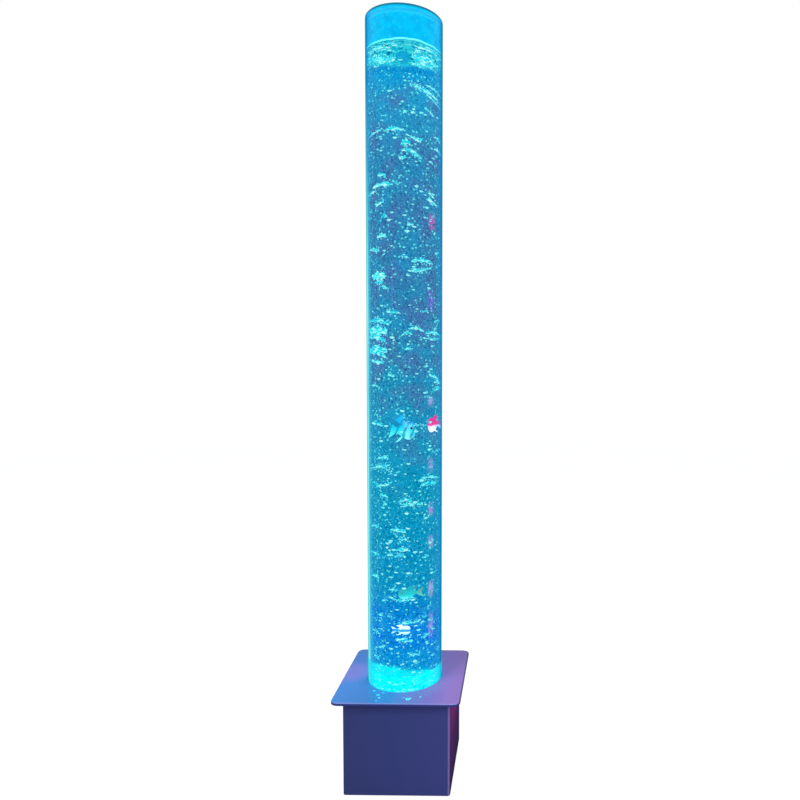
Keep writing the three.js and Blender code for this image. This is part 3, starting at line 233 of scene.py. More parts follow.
def knit(rows, columns, round_rows=False, round_columns=True):
    """The four corners of each face on a grid of rows times columns points, row after row. A round grid
    has one more strip of faces, from its last line of points back to the first."""
    row = np.arange(rows if round_rows else rows - 1)[:, None]
    column = np.arange(columns if round_columns else columns - 1)[None, :]
    next_row, next_column = (row + 1) % rows, (column + 1) % columns
    corners = (row * columns + column, row * columns + next_column,
               next_row * columns + next_column, next_row * columns + column)
    return np.stack(np.broadcast_arrays(*corners), -1).reshape(-1, 4)


def seal_shell(mesh):
    """Points closer than a hundredth of a millimetre are merged, which closes seams and poles. The faces
    are then turned outwards and shaded smooth, apart from edges sharper than 40 degrees."""
    shell = bmesh.new()
    shell.from_mesh(mesh)
    bmesh.ops.remove_doubles(shell, verts=shell.verts, dist=0.01 * MM)
    bmesh.ops.dissolve_degenerate(shell, edges=shell.edges, dist=0.001 * MM)
    bmesh.ops.recalc_face_normals(shell, faces=shell.faces)
    shell.to_mesh(mesh)
    shell.free()
    mesh.polygons.foreach_set("use_smooth", np.ones(len(mesh.polygons), bool))
    mesh.set_sharp_from_angle(angle=math.radians(40))


def build(name, points, faces, material, body="base", stands_for=(), slot=None):
    """A smooth closed piece from points and faces."""
    mesh = bpy.data.meshes.new(name)
    mesh.from_pydata(np.asarray(points).reshape(-1, 3).tolist(), [], np.asarray(faces).tolist())
    seal_shell(mesh)
    mesh.materials.append(material)
    return settle(bpy.data.objects.new(name, mesh), body, stands_for)


def settle(piece, body, stands_for):
    """Links a piece into the scene, ties it to its body and hides the CAD nodes that it stands for."""
    bpy.context.scene.collection.objects.link(piece)
    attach(piece, body)
    if stands_for:
        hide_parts(*stands_for)
    print(piece.name, len(piece.data.polygons), "faces")
    return piece


def turned(outline, sides=192, closed=True):
    """Points and faces of an outline of radius and height turned about the upright axis. Each point is
    radius times sine, minus radius times cosine, and height."""
    radius, height = np.array(outline).T[:, :, None]
    angle = circle(sides)[None, :]
    points = np.stack([radius * np.sin(angle), -radius * np.cos(angle), height + 0 * angle], -1)
    return points, knit(len(outline), sides, round_rows=closed)

# %% [markdown]
# A CAD part's edges are sharp, while a moulded, sprayed or polished one catches light on its edges. The
# part's own mesh stays as it is, so a copy is taken, its loose triangles are merged, its flat faces are
# joined, and a small bevel rounds what is left. Normals weighted by area then keep the flat faces flat.
# Everything else about the part keeps its size. A wall with many holes keeps its triangles, because one
# face can't go round so many openings.

# %% Softened copies of CAD parts
def softened(node, material, edge, body="base", sharp=30, joined=True):
    """A merged copy of one CAD node whose edges sharper than that angle get a rounding of that width."""
    shell = bmesh.new()
    shell.from_mesh(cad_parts[node].data)
    bmesh.ops.remove_doubles(shell, verts=shell.verts, dist=0.01 * MM)
    if joined:
        bmesh.ops.dissolve_limit(
            shell, angle_limit=math.radians(1), verts=shell.verts, edges=shell.edges
        )
    mesh = bpy.data.meshes.new(node + "_finished")
    shell.to_mesh(mesh)
    shell.free()
    mesh.polygons.foreach_set("use_smooth", np.ones(len(mesh.polygons), bool))
    mesh.materials.append(material)
    piece = bpy.data.objects.new(node + "_finished", mesh)
    rounding = piece.modifiers.new("rounding", "BEVEL")
    rounding.width = edge
    rounding.segments = 2
    rounding.limit_method = "ANGLE"
    rounding.angle_limit = math.radians(sharp)
    flat_faces = piece.modifiers.new("flat_faces", "WEIGHTED_NORMAL")
    flat_faces.weight = 100
    return settle(piece, body, (node,))

# %% [markdown]
# The studio is plain: a pale floor, soft daylight from all round, and three large soft lamps. What the
# camera sees behind the lamp, or through its glass, is white of strength 1. That comes from the sky and
# the floor's own glow, so that no lamp has to be turned up for it, and the floor still takes a shadow. A
# mirror sees the dimmer daylight, as it would in a room.

# %% Floor, sky and lamps
FLOOR_RADIUS = 6.0
FLOOR_SIDES = 96
DAYLIGHT = 0.32
FLOOR_GLOW, GLOW_STRENGTH = 0.85, 1.12
LAMP_TARGET = (0, 0, 0.6)


def white_rays(tree):
    """One where the ray comes from the camera, straight or through glass, and nothing elsewhere."""
    path = put(tree, "LightPath")
    return put(tree, "Math", {0: path.outputs["Is Camera Ray"], 1: path.outputs["Is Transmission Ray"]},
               operation="MAXIMUM").outputs[0]


def blended(tree, share, first, second):
    """Two shaders, the second by that share."""
    return put(tree, "MixShader", {0: share, 1: first.outputs[0], 2: second.outputs[0]})


def studio_floor():
    """Pale card: matt white that takes shadows, with a glow for the rays that show a background."""
    material = bpy.data.materials.new("matt_white_card")
    material.use_nodes = True
    tree = material.node_tree
    tree.nodes.clear()
    card = put(tree, "BsdfDiffuse", {"Color": linear(0xF4F4F4)})
    glow = put(tree, "Emission", {"Color": linear(0xFFFFFF), "Strength": GLOW_STRENGTH})
    dusk = put(tree, "Emission", {"Color": linear(0xD8ECFF), "Strength": DAYLIGHT})
    share = put(tree, "Math", {0: white_rays(tree), 1: FLOOR_GLOW}, operation="MULTIPLY").outputs[0]
    mirrored = put(tree, "LightPath").outputs["Is Glossy Ray"]
    seen = blended(tree, mirrored, blended(tree, share, card, glow), dusk)
    put(tree, "OutputMaterial", {"Surface": seen.outputs[0]})
    return material


floor_mesh = bpy.data.meshes.new("floor")
floor_angle = circle(FLOOR_SIDES)
floor_points = np.stack([np.cos(floor_angle), np.sin(floor_angle), 0 * floor_angle], -1) * FLOOR_RADIUS
floor_mesh.from_pydata(floor_points.tolist(), [], [list(range(FLOOR_SIDES))])
floor_mesh.materials.append(studio_floor())
floor = bpy.data.objects.new("floor", floor_mesh)
bpy.context.scene.collection.objects.link(floor)

sky = bpy.data.worlds.new("studio_sky")
sky.use_nodes = True
sky_tree = sky.node_tree
sky_tree.nodes.clear()
daylight = put(sky_tree, "Background", {0: linear(0xF2F6FF), 1: DAYLIGHT})
white = put(sky_tree, "Background", {0: linear(0xFFFFFF), 1: 1.0})
sky_mix = blended(sky_tree, white_rays(sky_tree), daylight, white)
put(sky_tree, "OutputWorld", {"Surface": sky_mix.outputs[0]})
bpy.context.scene.world = sky

LAMPS = {
    # place, power and size
    "key": ((-1.7, -2.5, 2.4), 66, 1.8),
    "fill": ((2.4, -1.5, 1.5), 34, 1.6),
    "back": ((0.3, 2.6, 2.2), 34, 1.6),
}
for name, (place, power, size) in LAMPS.items():
    lamp = bpy.data.lights.new(name, "AREA")
    lamp.energy, lamp.size = power, size
    holder = bpy.data.objects.new(name, lamp)
    aim = (Vector(place) - Vector(LAMP_TARGET)).to_track_quat("Z", "Y")
    holder.matrix_world = Matrix.Translation(place) @ aim.to_matrix().to_4x4()
    holder.visible_glossy = holder.visible_transmission = False
    bpy.context.scene.collection.objects.link(holder)
bpy.context.scene.view_settings.view_transform = "Standard"
print("lamps", list(LAMPS), "daylight", DAYLIGHT)

# %% [markdown]
# The box is fibreboard sprayed with matt lacquer. Sprayed lacquer has a faint orange peel, a ripple of
# about two millimetres, and its colour drifts a little over a panel. Here the front is indigo that turns
# towards violet on the right. The right side is plum, painted coloured light, with painted shade darker
# towards the floor, and a painted highlight runs as a thin pale line along the corner.

# %% Lacquered box
FRONT_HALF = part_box("base_box")[1][0]


def matt_lacquer():
    """Indigo across the front by the sideways place. Past the right corner, plum by the height: painted
    coloured light, with painted shade towards the floor, and a painted highlight line along the corner.
    """
    look = Look("sprayed_matt_lacquer", Specular_IOR_Level=0.0)
    spot = look.spot()
    x, _, z = look.axes(spot)
    drift = look.noise(spot, 90, 3.0)
    across = look.scaled(drift, 0.22, look.spread(x, -FRONT_HALF, FRONT_HALF))
    indigo = look.ramp(across, ((0.1, 0x363E6F), (0.65, 0x374077), (1.0, 0x3B417B)))
    # painted light: the right side is plum for coloured light on it, with painted shade low down
    upward = look.scaled(drift, 0.3, look.spread(z, 0.0, plate_low[2]))
    plum = look.ramp(upward, ((0.2, 0x352F52), (0.6, 0x4E2C60), (1.1 / 1.3, 0x6E3270)))
    corner = look.spread(x, FRONT_HALF - 5 * MM, FRONT_HALF - 0.4 * MM)
    front_and_painted_side = look.mix(look.sum_of("GREATER_THAN", corner, 0.8), indigo, plum)
    # painted highlight: a thin pale line along the right corner
    line = look.ramp(corner, ((0.0, 0.0), (0.35, 1.0), (0.75, 1.0), (1.0, 0.0)))
    look.give(look.mix(look.scaled(line, 0.45), front_and_painted_side, 0x9C86C0), "Base Color")
    look.give(look.spread(drift, low=0.3, high=0.5), "Roughness")
    look.raised(look.noise(spot, 2), 0.15, 0.2)
    return look.material


softened("base_box", matt_lacquer(), 0.9 * MM, joined=False)

# %% [markdown]
# The plate is a sheet of cast acrylic, polished to a gloss. Its colour is painted light from the tube,
# azure on the left and violet on the right, with painted shade towards the back. The colour is painted by
# place, so it stays put from every side, and the gloss does the rest: it mirrors the foot of the tube.
# Polished acrylic has hardly any texture, only a faint unevenness of its gloss from wiping.

# %% Glossy plate
PLATE_HALF = plate_high[0]


def polished_acrylic_sheet():
    """Painted light from azure to violet by the sideways place, painted shade greyer towards the back, and a
    soft painted light patch on the left. A painted highlight runs along the front margin, painted shade
    along the right and back margins, and the sawn edge has a painted highlight at its top over painted
    shade."""
    look = Look("polished_cast_acrylic_sheet", Specular_IOR_Level=0.3)
    spot = look.spot()
    x, y, z = look.axes(spot)
    cloud = look.noise(spot, 60, 3.0)
    across = look.scaled(cloud, 0.12, look.spread(x, -PLATE_HALF, PLATE_HALF))
    # painted light from the tube: azure on the left to violet on the right
    painted_light_and_shade = look.ramp(across, ((0.04, 0x5298EA), (0.5, 0x4C9CEE), (0.59, 0x6C92EC), (0.66, 0x868CE4),
                             (0.86, 0x9C86DA), (1.0, 0xA482D4)))
    # painted shade: greyer towards the back
    painted_light_and_shade = look.mix(look.spread(y, -0.02, PLATE_HALF, high=0.22), painted_light_and_shade, 0x6478C0)
    # a soft painted light patch on the left
    reach = look.vector("DISTANCE", spot, (-0.112, 0.01, PLATE_TOP))
    painted_light_and_shade = look.mix(look.spread(reach, 0.055, 0.02, high=0.85), painted_light_and_shade, 0x9898F4)
    # painted shade along the right and back margins
    for side in (x, y):
        margin = look.spread(side, PLATE_HALF - 3.2 * MM, PLATE_HALF - 1.8 * MM, high=0.8)
        painted_light_and_shade = look.mix(margin, painted_light_and_shade, 0x3C3468)
    # painted highlight: a pale line along the front margin
    front = look.spread(y, 5.5 * MM - PLATE_HALF, 3 * MM - PLATE_HALF, high=0.6)
    painted_light_and_shade = look.mix(front, painted_light_and_shade, 0xB4AEF0)
    # the sawn edge: a painted highlight at its top, painted shade below
    sawn = look.ramp(look.spread(z, PLATE_TOP, plate_low[2]),
                     ((0.0, linear(0x545CA8, 0.0)), (0.06, linear(0x545CA8, 0.9)), (0.16, 0x2E3880),
                      (1.0, 0x2A3070)))
    look.give(look.mix(sawn.node.outputs["Alpha"], painted_light_and_shade, sawn), "Base Color")
    look.give(look.spread(cloud, low=0.1, high=0.24), "Roughness")
    return look.material


softened("top_plate", polished_acrylic_sheet(), 0.5 * MM)

# %% [markdown]
# The water is what makes the lamp. A cylinder of water is a strong lens: it spreads whatever is inside
# sideways by a third. The tube is a smooth pipe with the index of acrylic, 1.49. Its inner face is wet, so
# the step in index there is 1.49 over 1.33, which is 1.12, and next to nothing is mirrored by it. With that
# step on the pipe's own inner face, the wall of the water itself has no step left. Its free surface has the
# full 1.33, so it mirrors what lies below it, as seen from under the surface. The wall also carries light
# along itself. A film over it, clear face on and full of light where it is seen end on, draws the azure
# band down both sides, with a thin line of teal outside it.

# %% Clear acrylic, light in its wall, and water
ACRYLIC, WATER_INDEX = 1.49, 1.33
WALL_FOOT, WALL_LOW, WALL_HIGH = 238 * MM, 1000 * MM, 1390 * MM


def clear_glassy(name, index, mirror, glow=0.0):
    """Extruded acrylic: glass clear, faintly cyan, darker and lit where the wall is seen end on."""
    look = Look(name, Roughness=0.0, IOR=index, Transmission_Weight=1.0, Emission_Strength=glow,
                Specular_Tint=linear(mirror))
    draw = look.noise(look.stretched(look.spot(), (1, 1, 0.15)), 30)
    tint = look.ramp(draw, ((0.3, 0xDCF6FF), (0.7, 0xE8FBFF)))
    edge = look.facing()
    long_way = look.ramp(edge, ((0.35, 0xFFFFFF), (0.6, 0xA0E8FA), (0.82, 0x38BCE8), (0.92, 0x06728C)))
    look.give(look.mix(1.0, tint, long_way, "MULTIPLY"), "Base Color")
    if glow:
        light = look.ramp(edge, ((0.4, 0x000000), (0.75, 0x00465E), (0.9, 0x00303E)))
        look.give(light, "Emission Color")
    return look.material


def light_in_the_wall():
    """Light carried by the wall: its share of cover goes from none face on to all of it end on. Light from
    the plug fills its foot. The left side gets paler from WALL_HIGH down to WALL_LOW and stays so below,
    a painted reflection of a lamp on the tube."""
    look = Look("light_in_acrylic_wall", Roughness=0.3, Specular_IOR_Level=0.0, Emission_Strength=0.95)
    spot = look.spot()
    x, _, z = look.axes(spot)
    draw = look.noise(look.stretched(spot, (1, 1, 0.12)), 9, 3.0)
    # painted reflection of a lamp: the left side is paler from WALL_HIGH down
    left = look.spread(x, 0.0, -0.5 * TUBE_RADIUS)
    both = look.scaled(left, look.spread(z, WALL_HIGH, WALL_LOW))
    facing = look.sum_of("ADD", look.facing(), look.scaled(draw, 0.12, -0.06))
    seen = look.scaled(both, 0.05, facing)
    band = look.ramp(seen, ((0.5, 0x0094D0), (0.7, 0x0088C4), (0.8, 0x0080B0), (0.88, 0x14909C)))
    # the paler tones of that painted reflection
    pale = look.ramp(seen, ((0.5, 0x18B4DC), (0.7, 0x4CD4E6), (0.82, 0x98F0F2), (0.92, 0x48C4C8)))
    foot = look.spread(look.scaled(x, 0.13, z), WALL_FOOT, WALL_FOOT - 4 * MM, high=0.75)
    look.lit(look.mix(foot, look.mix(both, band, pale), 0x00DCE8), 0.9)
    cover = ((0.48, 0.0), (0.58, 0.08), (0.66, 0.22), (0.73, 0.42), (0.79, 0.75), (0.85, 1.0))
    look.give(look.ramp(seen, cover), "Alpha")
    return look.material


def lit_water(name, index):
    """Clean water: clear, smooth, and a little blue because the lamps below colour it."""
    look = Look(name, Roughness=0.0, IOR=index, Transmission_Weight=1.0, Specular_Tint=linear(0x041C38))
    swirl = look.noise(look.spot(), 120)
    look.give(look.ramp(swirl, ((0.3, 0xDCF5FF), (0.7, 0xECFAFF))), "Base Color")
    return look.material


print("at the wet wall the index steps by", round(ACRYLIC / WATER_INDEX, 3))

# %% [markdown]
# The tube is one outline turned about the upright axis, and so are the film over it and the column of
# water. The water climbs the wall by a millimetre or two, so its column has a curved upper edge. The wet
# inner wall of the tube and the free surface of the water are faces with an index of their own.

# %% Tube, film and column of water
FILM = 0.05 * MM
MENISCUS = 1.6 * MM


def second_material(piece, material, chosen):
    """The chosen faces of a piece, given by their middles, take a material of their own."""
    faces = piece.data.polygons
    middles = np.empty(len(faces) * 3)
    faces.foreach_get("center", middles)
    picked = chosen(middles.reshape(-1, 3))
    piece.data.materials.append(material)
    faces.foreach_set("material_index", picked.astype(int))
    print(piece.name, "faces of", material.name, int(picked.sum()))


pipe = [(TUBE_RADIUS, TUBE_FOOT), (TUBE_RADIUS, RIM), (BORE_RADIUS, RIM), (BORE_RADIUS, TUBE_FOOT)]
dry_acrylic = clear_glassy("extruded_clear_acrylic", ACRYLIC, 0x0A3C6E, glow=0.4)
tube = build("acrylic_tube", *turned(pipe), dry_acrylic, stands_for=("tube",), slot="clear_acrylic")
wet_acrylic = clear_glassy("wetted_clear_acrylic", ACRYLIC / WATER_INDEX, 0x041C38)
second_material(tube, wet_acrylic, lambda at: np.hypot(at[:, 0], at[:, 1]) < BORE_RADIUS + FILM)
film_foot, film_top = PLATE_TOP + FILM, RIM - FILM
film = [(TUBE_RADIUS + FILM, film_foot), (TUBE_RADIUS + FILM, film_top),
        (TUBE_RADIUS + 0.5 * FILM, film_top), (TUBE_RADIUS + 0.5 * FILM, film_foot)]
build("wall_light", *turned(film), light_in_the_wall(), slot="clear_acrylic")
WATER_RADIUS = BORE_RADIUS - FILM
water_foot = PLUG_TOP + CLEARANCE
climb = np.linspace(0, 1, 7)
surface = [(WATER_RADIUS * (1 - 0.12 * (1 - s)), WATER_LEVEL + MENISCUS * s**3) for s in climb]
column = [(0, water_foot), (WATER_RADIUS, water_foot)] + surface[::-1] + [(0, WATER_LEVEL)]
water = build("water", *turned(column, closed=False), lit_water("lit_clear_water", 1.0))
second_material(water, lit_water("free_water_surface", WATER_INDEX),
                lambda at: at[:, 2] > WATER_LEVEL - 0.5 * FILM)

# %% [markdown]
# Pieces in the water are placed by what the eye sees from the front: a height, and how far they seem to
# stand to the side of the middle. Refraction moves them, so one function turns the seen offset back into
# the true angle round the tube. A sight line bends on entering the acrylic and the water, and passes the
# axis at its offset divided by the water's index. A line that is seen to the side also comes in at a slant.

# %% True angles of what is seen through the water
CAMERA_REACH = math.hypot(*CAMERA_PLACE[:2])
VIEW_BEARING = math.atan2(CAMERA_PLACE[0], -CAMERA_PLACE[1])


def bearing(offset, radius):
    """The true angle, from the front towards the right, of a point at that radius that seems to stand
    offset metres right of the axis: the arcsine of offset over index times radius, plus the bend at
    the wall, less the sight line's own slant, plus the angle at which the camera stands."""
    bend = np.arcsin(offset / TUBE_RADIUS) - np.arcsin(offset / (WATER_INDEX * TUBE_RADIUS))
    slant = np.arcsin(offset / CAMERA_REACH)
    return np.arcsin(offset / (WATER_INDEX * radius)) + bend - slant + VIEW_BEARING


print("a bubble seen 50 mm right stands at", round(float(bearing(0.05, 0.069)), 3), "rad")

# %% [markdown]
# Real water full of bubbles is not clear for long: light scatters from one to the next, and the middle of
# the column turns milky blue. A cloud would be slow to render and would not survive an export, so the
# milky middle is a solid core whose glow is painted light. The lens effect of the water spreads it to the
# edges. Its paint goes by height: pure cyan on the plug, painted light of the lit plug, deep blue above
# it, azure, then a dusky violet-blue, and a pale band under the surface that is froth and a painted mirror
# image of the water below the surface. Painted reflections stand in it as upright streaks of pink, lilac
# and violet.

# %% Levels and streaks of the milky core
CORE_RADIUS = 54 * MM
CORE_FOOT = PLUG_TOP + 2.7 * MM
CORE_TOP = WATER_LEVEL - 2 * MM
# painted reflections: upright streaks of pink, lilac and violet on the core
REFLECTION_STREAKS = {
    # seen offset, half width, then height, half height and colour of each patch
    "pink": (54 * MM, 11 * MM, ((1116, 20, 0xF04CB4),)),
    "lilac": (52 * MM, 9.0 * MM, ((965, 24, 0xA070E4), (767, 12, 0xDCA8EC), (640, 16, 0xD4A0EC),
                                  (550, 16, 0xDCA0E8), (484, 15, 0xECC4F0), (389, 20, 0xE4B8EC),
                                  (315, 30, 0xD0A0EC))),
    "violet": (-24.5 * MM, 0.9 * MM, ((985, 70, 0x8C7CD8),)),
}
SURFACE_BAND = 1400
FOOT_BAND = 239
# painted light: the lowest levels are the lit plug's cyan; from SURFACE_BAND up, froth and a painted mirror
# image
LEVELS = (
    # height in millimetres and colour
    (222, 0x00FFFF), (FOOT_BAND - 3, 0x00FFFF), (FOOT_BAND + 2, 0x0498DC), (272, 0x0494E0),
    (300, 0x0482E4), (345, 0x0486DC), (395, 0x0498C4), (600, 0x089CBE), (800, 0x2A92B8),
    (1000, 0x3C88B2), (1260, 0x3C8CB8), (1350, 0x2CA0CC), (1380, 0x10A6DC), (SURFACE_BAND - 3, 0x0090D0),
    (SURFACE_BAND, 0x40F0F0), (1412, 0x18C4DC), (1434, 0x50F4F0),
)


def height_share(height):
    """A height above the floor in millimetres, as a share of the core's height."""
    return (height * MM - CORE_FOOT) / (CORE_TOP - CORE_FOOT)


def with_reflection_streaks(look, paint, spot, upward):
    """The painted reflection streaks over a paint: each is as wide as it says round its place, fades with
    the height above and below each of its patches, and is broken up by the bubbles in front of it."""
    for offset, width, patches in REFLECTION_STREAKS.values():
        angle = float(bearing(offset, CORE_RADIUS))
        place = (CORE_RADIUS * math.sin(angle), -CORE_RADIUS * math.cos(angle), 0)
        reach = look.vector("DISTANCE", look.vector("MULTIPLY", spot, (1, 1, 0)), place)
        near = look.spread(reach, width, 0.4 * width)
        stops = [(0.0, linear(0xFFFFFF, 0.0))]
        for height, half, code in sorted(patches):
            stops += [(height_share(height + side * half), linear(code, cover))
                      for side, cover in ((-1, 0.0), (0, 1.0), (1, 0.0))]
        patch = look.ramp(upward, stops)
        broken = look.spread(look.noise(spot, 5, 3.0), 0.34, 0.5)
        share = look.scaled(look.scaled(near, patch.node.outputs["Alpha"]), broken)
        paint = look.mix(share, paint, patch)
    return paint


print("the core stands from", round(CORE_FOOT, 4), "to", round(CORE_TOP, 4))

# %% [markdown]
# The ramp of levels is read at a height that tilts from left to right, sags from front to middle and wavers
# with the clouds, because no level in moving water is flat. Clouds, dusk, froth that is also a painted
# mirror image, painted reflection streaks, grain and specks are then mixed over it, one after the other.

# %% Milky core of the water
def milky_water():
    """Paint by height with clouds of two sizes, froth that is also a painted mirror image of the water, and
    painted reflection streaks, then grain, specks of the size of small bubbles, and a calm block in the
    froth at the front."""
    look = Look("milky_lit_water", Roughness=0.6, Emission_Strength=1.0, Specular_IOR_Level=0.0)
    spot = look.spot()
    x, y, z = look.axes(spot)
    cloud = look.noise(spot, 34, 4.0)
    upward = look.spread(z, CORE_FOOT, CORE_TOP)
    slope = look.scaled(x, look.spread(upward, 0.0, 0.3, 0.12, 0.02), upward)
    beside = look.spread(y, -CORE_RADIUS, 0.0)
    sagged = look.scaled(beside, look.scaled(upward, -0.026, 0.014), slope)
    wobble = look.scaled(cloud, 0.012, sagged)
    paint = look.ramp(wobble, [(height_share(height) + 0.006, code) for height, code in LEVELS])
    paint = look.mix(look.spread(cloud, 0.42, 0.72, high=0.5), paint, 0x1CA8D4)
    dusky = look.spread(look.noise(spot, 55), 0.46, 0.62, high=0.6)
    tall = look.ramp(upward, [(height_share(height), share) for height, share in
                              ((560, 0.0), (760, 1.0), (1330, 1.0), (1380, 0.0))])
    paint = look.mix(look.scaled(dusky, tall), paint, 0x5E6CA8)
    # the pale band under the surface: froth and a painted mirror image of the water below it
    froth_and_mirror_share = look.spread(sagged, height_share(SURFACE_BAND), height_share(SURFACE_BAND + 4))
    fold = look.noise(look.stretched(spot, (1, 1, 2.6)), 13, 5.0, Distortion=1.2)
    froth_and_mirror_band = look.ramp(fold, ((0.36, 0x0888AC), (0.46, 0x14C2D6), (0.54, 0x44E4E2), (0.6, 0x14C8DC),
                            (0.68, 0xC8FAEC)))
    # painted reflection streaks over the paint
    paint = with_reflection_streaks(look, look.mix(froth_and_mirror_share, paint, froth_and_mirror_band), spot, upward)
    above_foot = look.spread(wobble, height_share(FOOT_BAND), height_share(FOOT_BAND + 8), high=0.85)
    grain = look.noise(spot, 4.5, Roughness=0.7)
    shade = look.ramp(grain, ((0.34, 0x80ACC0), (0.5, 0xFFFFFF), (0.66, 0xFFFFFF)))
    paint = look.mix(above_foot, paint, shade, "MULTIPLY")
    for size, reach, strength in ((4.2, 0.18, 0.45), (9, 0.16, 0.9)):
        speck = look.spread(look.cells(spot, size), reach + 0.1, reach, high=strength)
        paint = look.mix(speck, paint, 0x74F0E8)
    block_spot = (6.5 * MM, -CORE_RADIUS, (SURFACE_BAND + 14) * MM)
    off = look.vector("MULTIPLY", look.vector("SUBTRACT", spot, block_spot), (1, 0.5, 1.1))
    block = look.spread(look.vector("LENGTH", off), 13 * MM, 11.5 * MM, high=0.9)
    look.lit(look.mix(block, paint, 0x0CA4CE), 0.9)
    return look.material


core_rows = np.linspace(CORE_FOOT, CORE_TOP, 24)
core = [(0, CORE_FOOT)] + [(CORE_RADIUS, height) for height in core_rows] + [(0, CORE_TOP)]
build("milky_core", *turned(core, sides=128, closed=False), milky_water())

# %% [markdown]
# The bubbles are thousands of small spheres of air, a millimetre or two across. At that size a ball of
# twenty faces, shaded smooth, is round enough. The fish swim in a ring of their own, so at the front the
# bubbles keep to the wall or to the core, and no fish passes through one. An air bubble in water mirrors
# the lamps, so it glows pale cyan in the middle and darker round its rim.

# %% Small bubbles
BUBBLES = 6000
SMALLEST, LARGEST = 0.45 * MM, 0.8 * MM
WALL_REACH = BORE_RADIUS - 1.0 * MM
LANE = (-0.55, 1.8)


def ball(level):
    """Points and faces of a unit ball with twenty faces, each cut into four for every level above 1."""
    shell = bmesh.new()
    bmesh.ops.create_icosphere(shell, subdivisions=level, radius=1)
    points = np.array([vertex.co[:] for vertex in shell.verts])
    faces = np.array([[vertex.index for vertex in face.verts] for face in shell.faces])
    shell.free()
    return points, faces


def scattered(points, faces, places, angles, scales):
    """Copies of a ball: each is stretched by its scales along the radius, round the tube and upwards,
    turned to its angle and moved to its place."""
    stretched = points[None] * scales[:, None, :]
    sine, cosine = np.sin(angles)[:, None], np.cos(angles)[:, None]
    outward, around, up = (stretched[..., axis] for axis in range(3))
    turned_points = np.stack([outward * sine + around * cosine, around * sine - outward * cosine, up], -1)
    moved = turned_points + places[:, None, :]
    shifted = faces[None] + (np.arange(len(places)) * len(points))[:, None, None]
    return moved.reshape(-1, 3), shifted.reshape(-1, faces.shape[1])


def round_the_tube(radius, angle, height):
    """Points at that radius, angle from the front towards the right, and height."""
    return np.stack([radius * np.sin(angle), -radius * np.cos(angle), height], -1)


def bright_air(name, tones, strength):
    """Air in lit water: pale in the middle and deeper at the rim, as its mirror of the lamps is."""
    look = Look(name, Roughness=0.25, Emission_Strength=strength, IOR=WATER_INDEX)
    mottled = look.scaled(look.noise(look.spot(), 14), 0.6, look.facing(0.4))
    look.lit(look.ramp(mottled, zip((0.25, 0.5, 0.95), tones)))
    return look.material


dice = np.random.default_rng(7)
angles = dice.uniform(-np.pi, np.pi, BUBBLES)
in_lane = (angles > LANE[0]) & (angles < LANE[1])
heights = dice.uniform(PLUG_TOP + 8 * MM, WATER_LEVEL - 3 * MM, BUBBLES)
sizes = dice.uniform(SMALLEST, LARGEST, BUBBLES) * np.where(dice.random(BUBBLES) < 0.15, 1.05, 0.85)
by_wall = dice.random(BUBBLES) < 0.5
lane_reach = np.where(by_wall, WALL_REACH, CORE_RADIUS + 0.8 * MM)
reach = np.where(in_lane, lane_reach, dice.uniform(56, 68.8, BUBBLES) * MM)
sizes = np.where(in_lane, sizes, sizes * 1.5)
small_air = bright_air("small_air_bubbles", (0xB8FFFA, 0x46D6E6, 0x1290C0), 0.8)
build("small_bubbles", *scattered(*ball(1), round_the_tube(reach, angles, heights), angles,
                                  np.repeat(sizes[:, None], 3, 1)), small_air)

# %% [markdown]
# Larger bubbles are pressed flat by the water and wobble as they rise, so they look like bright dashes
# and flakes lying on their side. They are the same ball with more faces, drawn out round the tube, with
# a dented outline so that no two look alike.

# %% Flat wobbling bubbles
FLAKES = 1150


def dented(points, strength):
    """A unit ball whose points move in or out by a few sine waves of their place, for a wobbling skin."""
    wave = np.sin(3.1 * points[:, 0] + 1.7) * np.sin(4.3 * points[:, 2] + 0.4)
    return points * (1 + strength * (wave + 0.5 * np.sin(6.7 * points[:, 1])))[:, None]


flake_angle = dice.uniform(-np.pi, np.pi, FLAKES)
flake_height = dice.uniform(PLUG_TOP + 12 * MM, WATER_LEVEL - 8 * MM, FLAKES)
long_half = dice.uniform(1.0, 2.0, FLAKES) ** 2.0 * 1.2 * MM
flake_scale = np.stack([np.full(FLAKES, 0.75 * MM), long_half,
                        long_half * dice.uniform(0.34, 0.62, FLAKES)], -1)
flake_points, flake_faces = ball(2)
flake_place = round_the_tube(WALL_REACH, flake_angle, flake_height)
flat_air = bright_air("flat_air_bubbles", (0xDCFFEE, 0x74ECE2, 0x18B0C4), 0.78)
build("flat_bubbles", *scattered(dented(flake_points, 0.22), flake_faces, flake_place, flake_angle,
                                 flake_scale), flat_air)

# %% [markdown]
# Big bursts of air rise as wide domes and trail wavy crests of froth. Each is a lens-shaped strand, bent
# round the wall of the tube, whose place is read from the front: the height above the floor, where it
# starts and ends to the side of the middle, how far it arches or slopes, and how thick it is. Its skin
# ripples, and it thins to nothing at both ends.

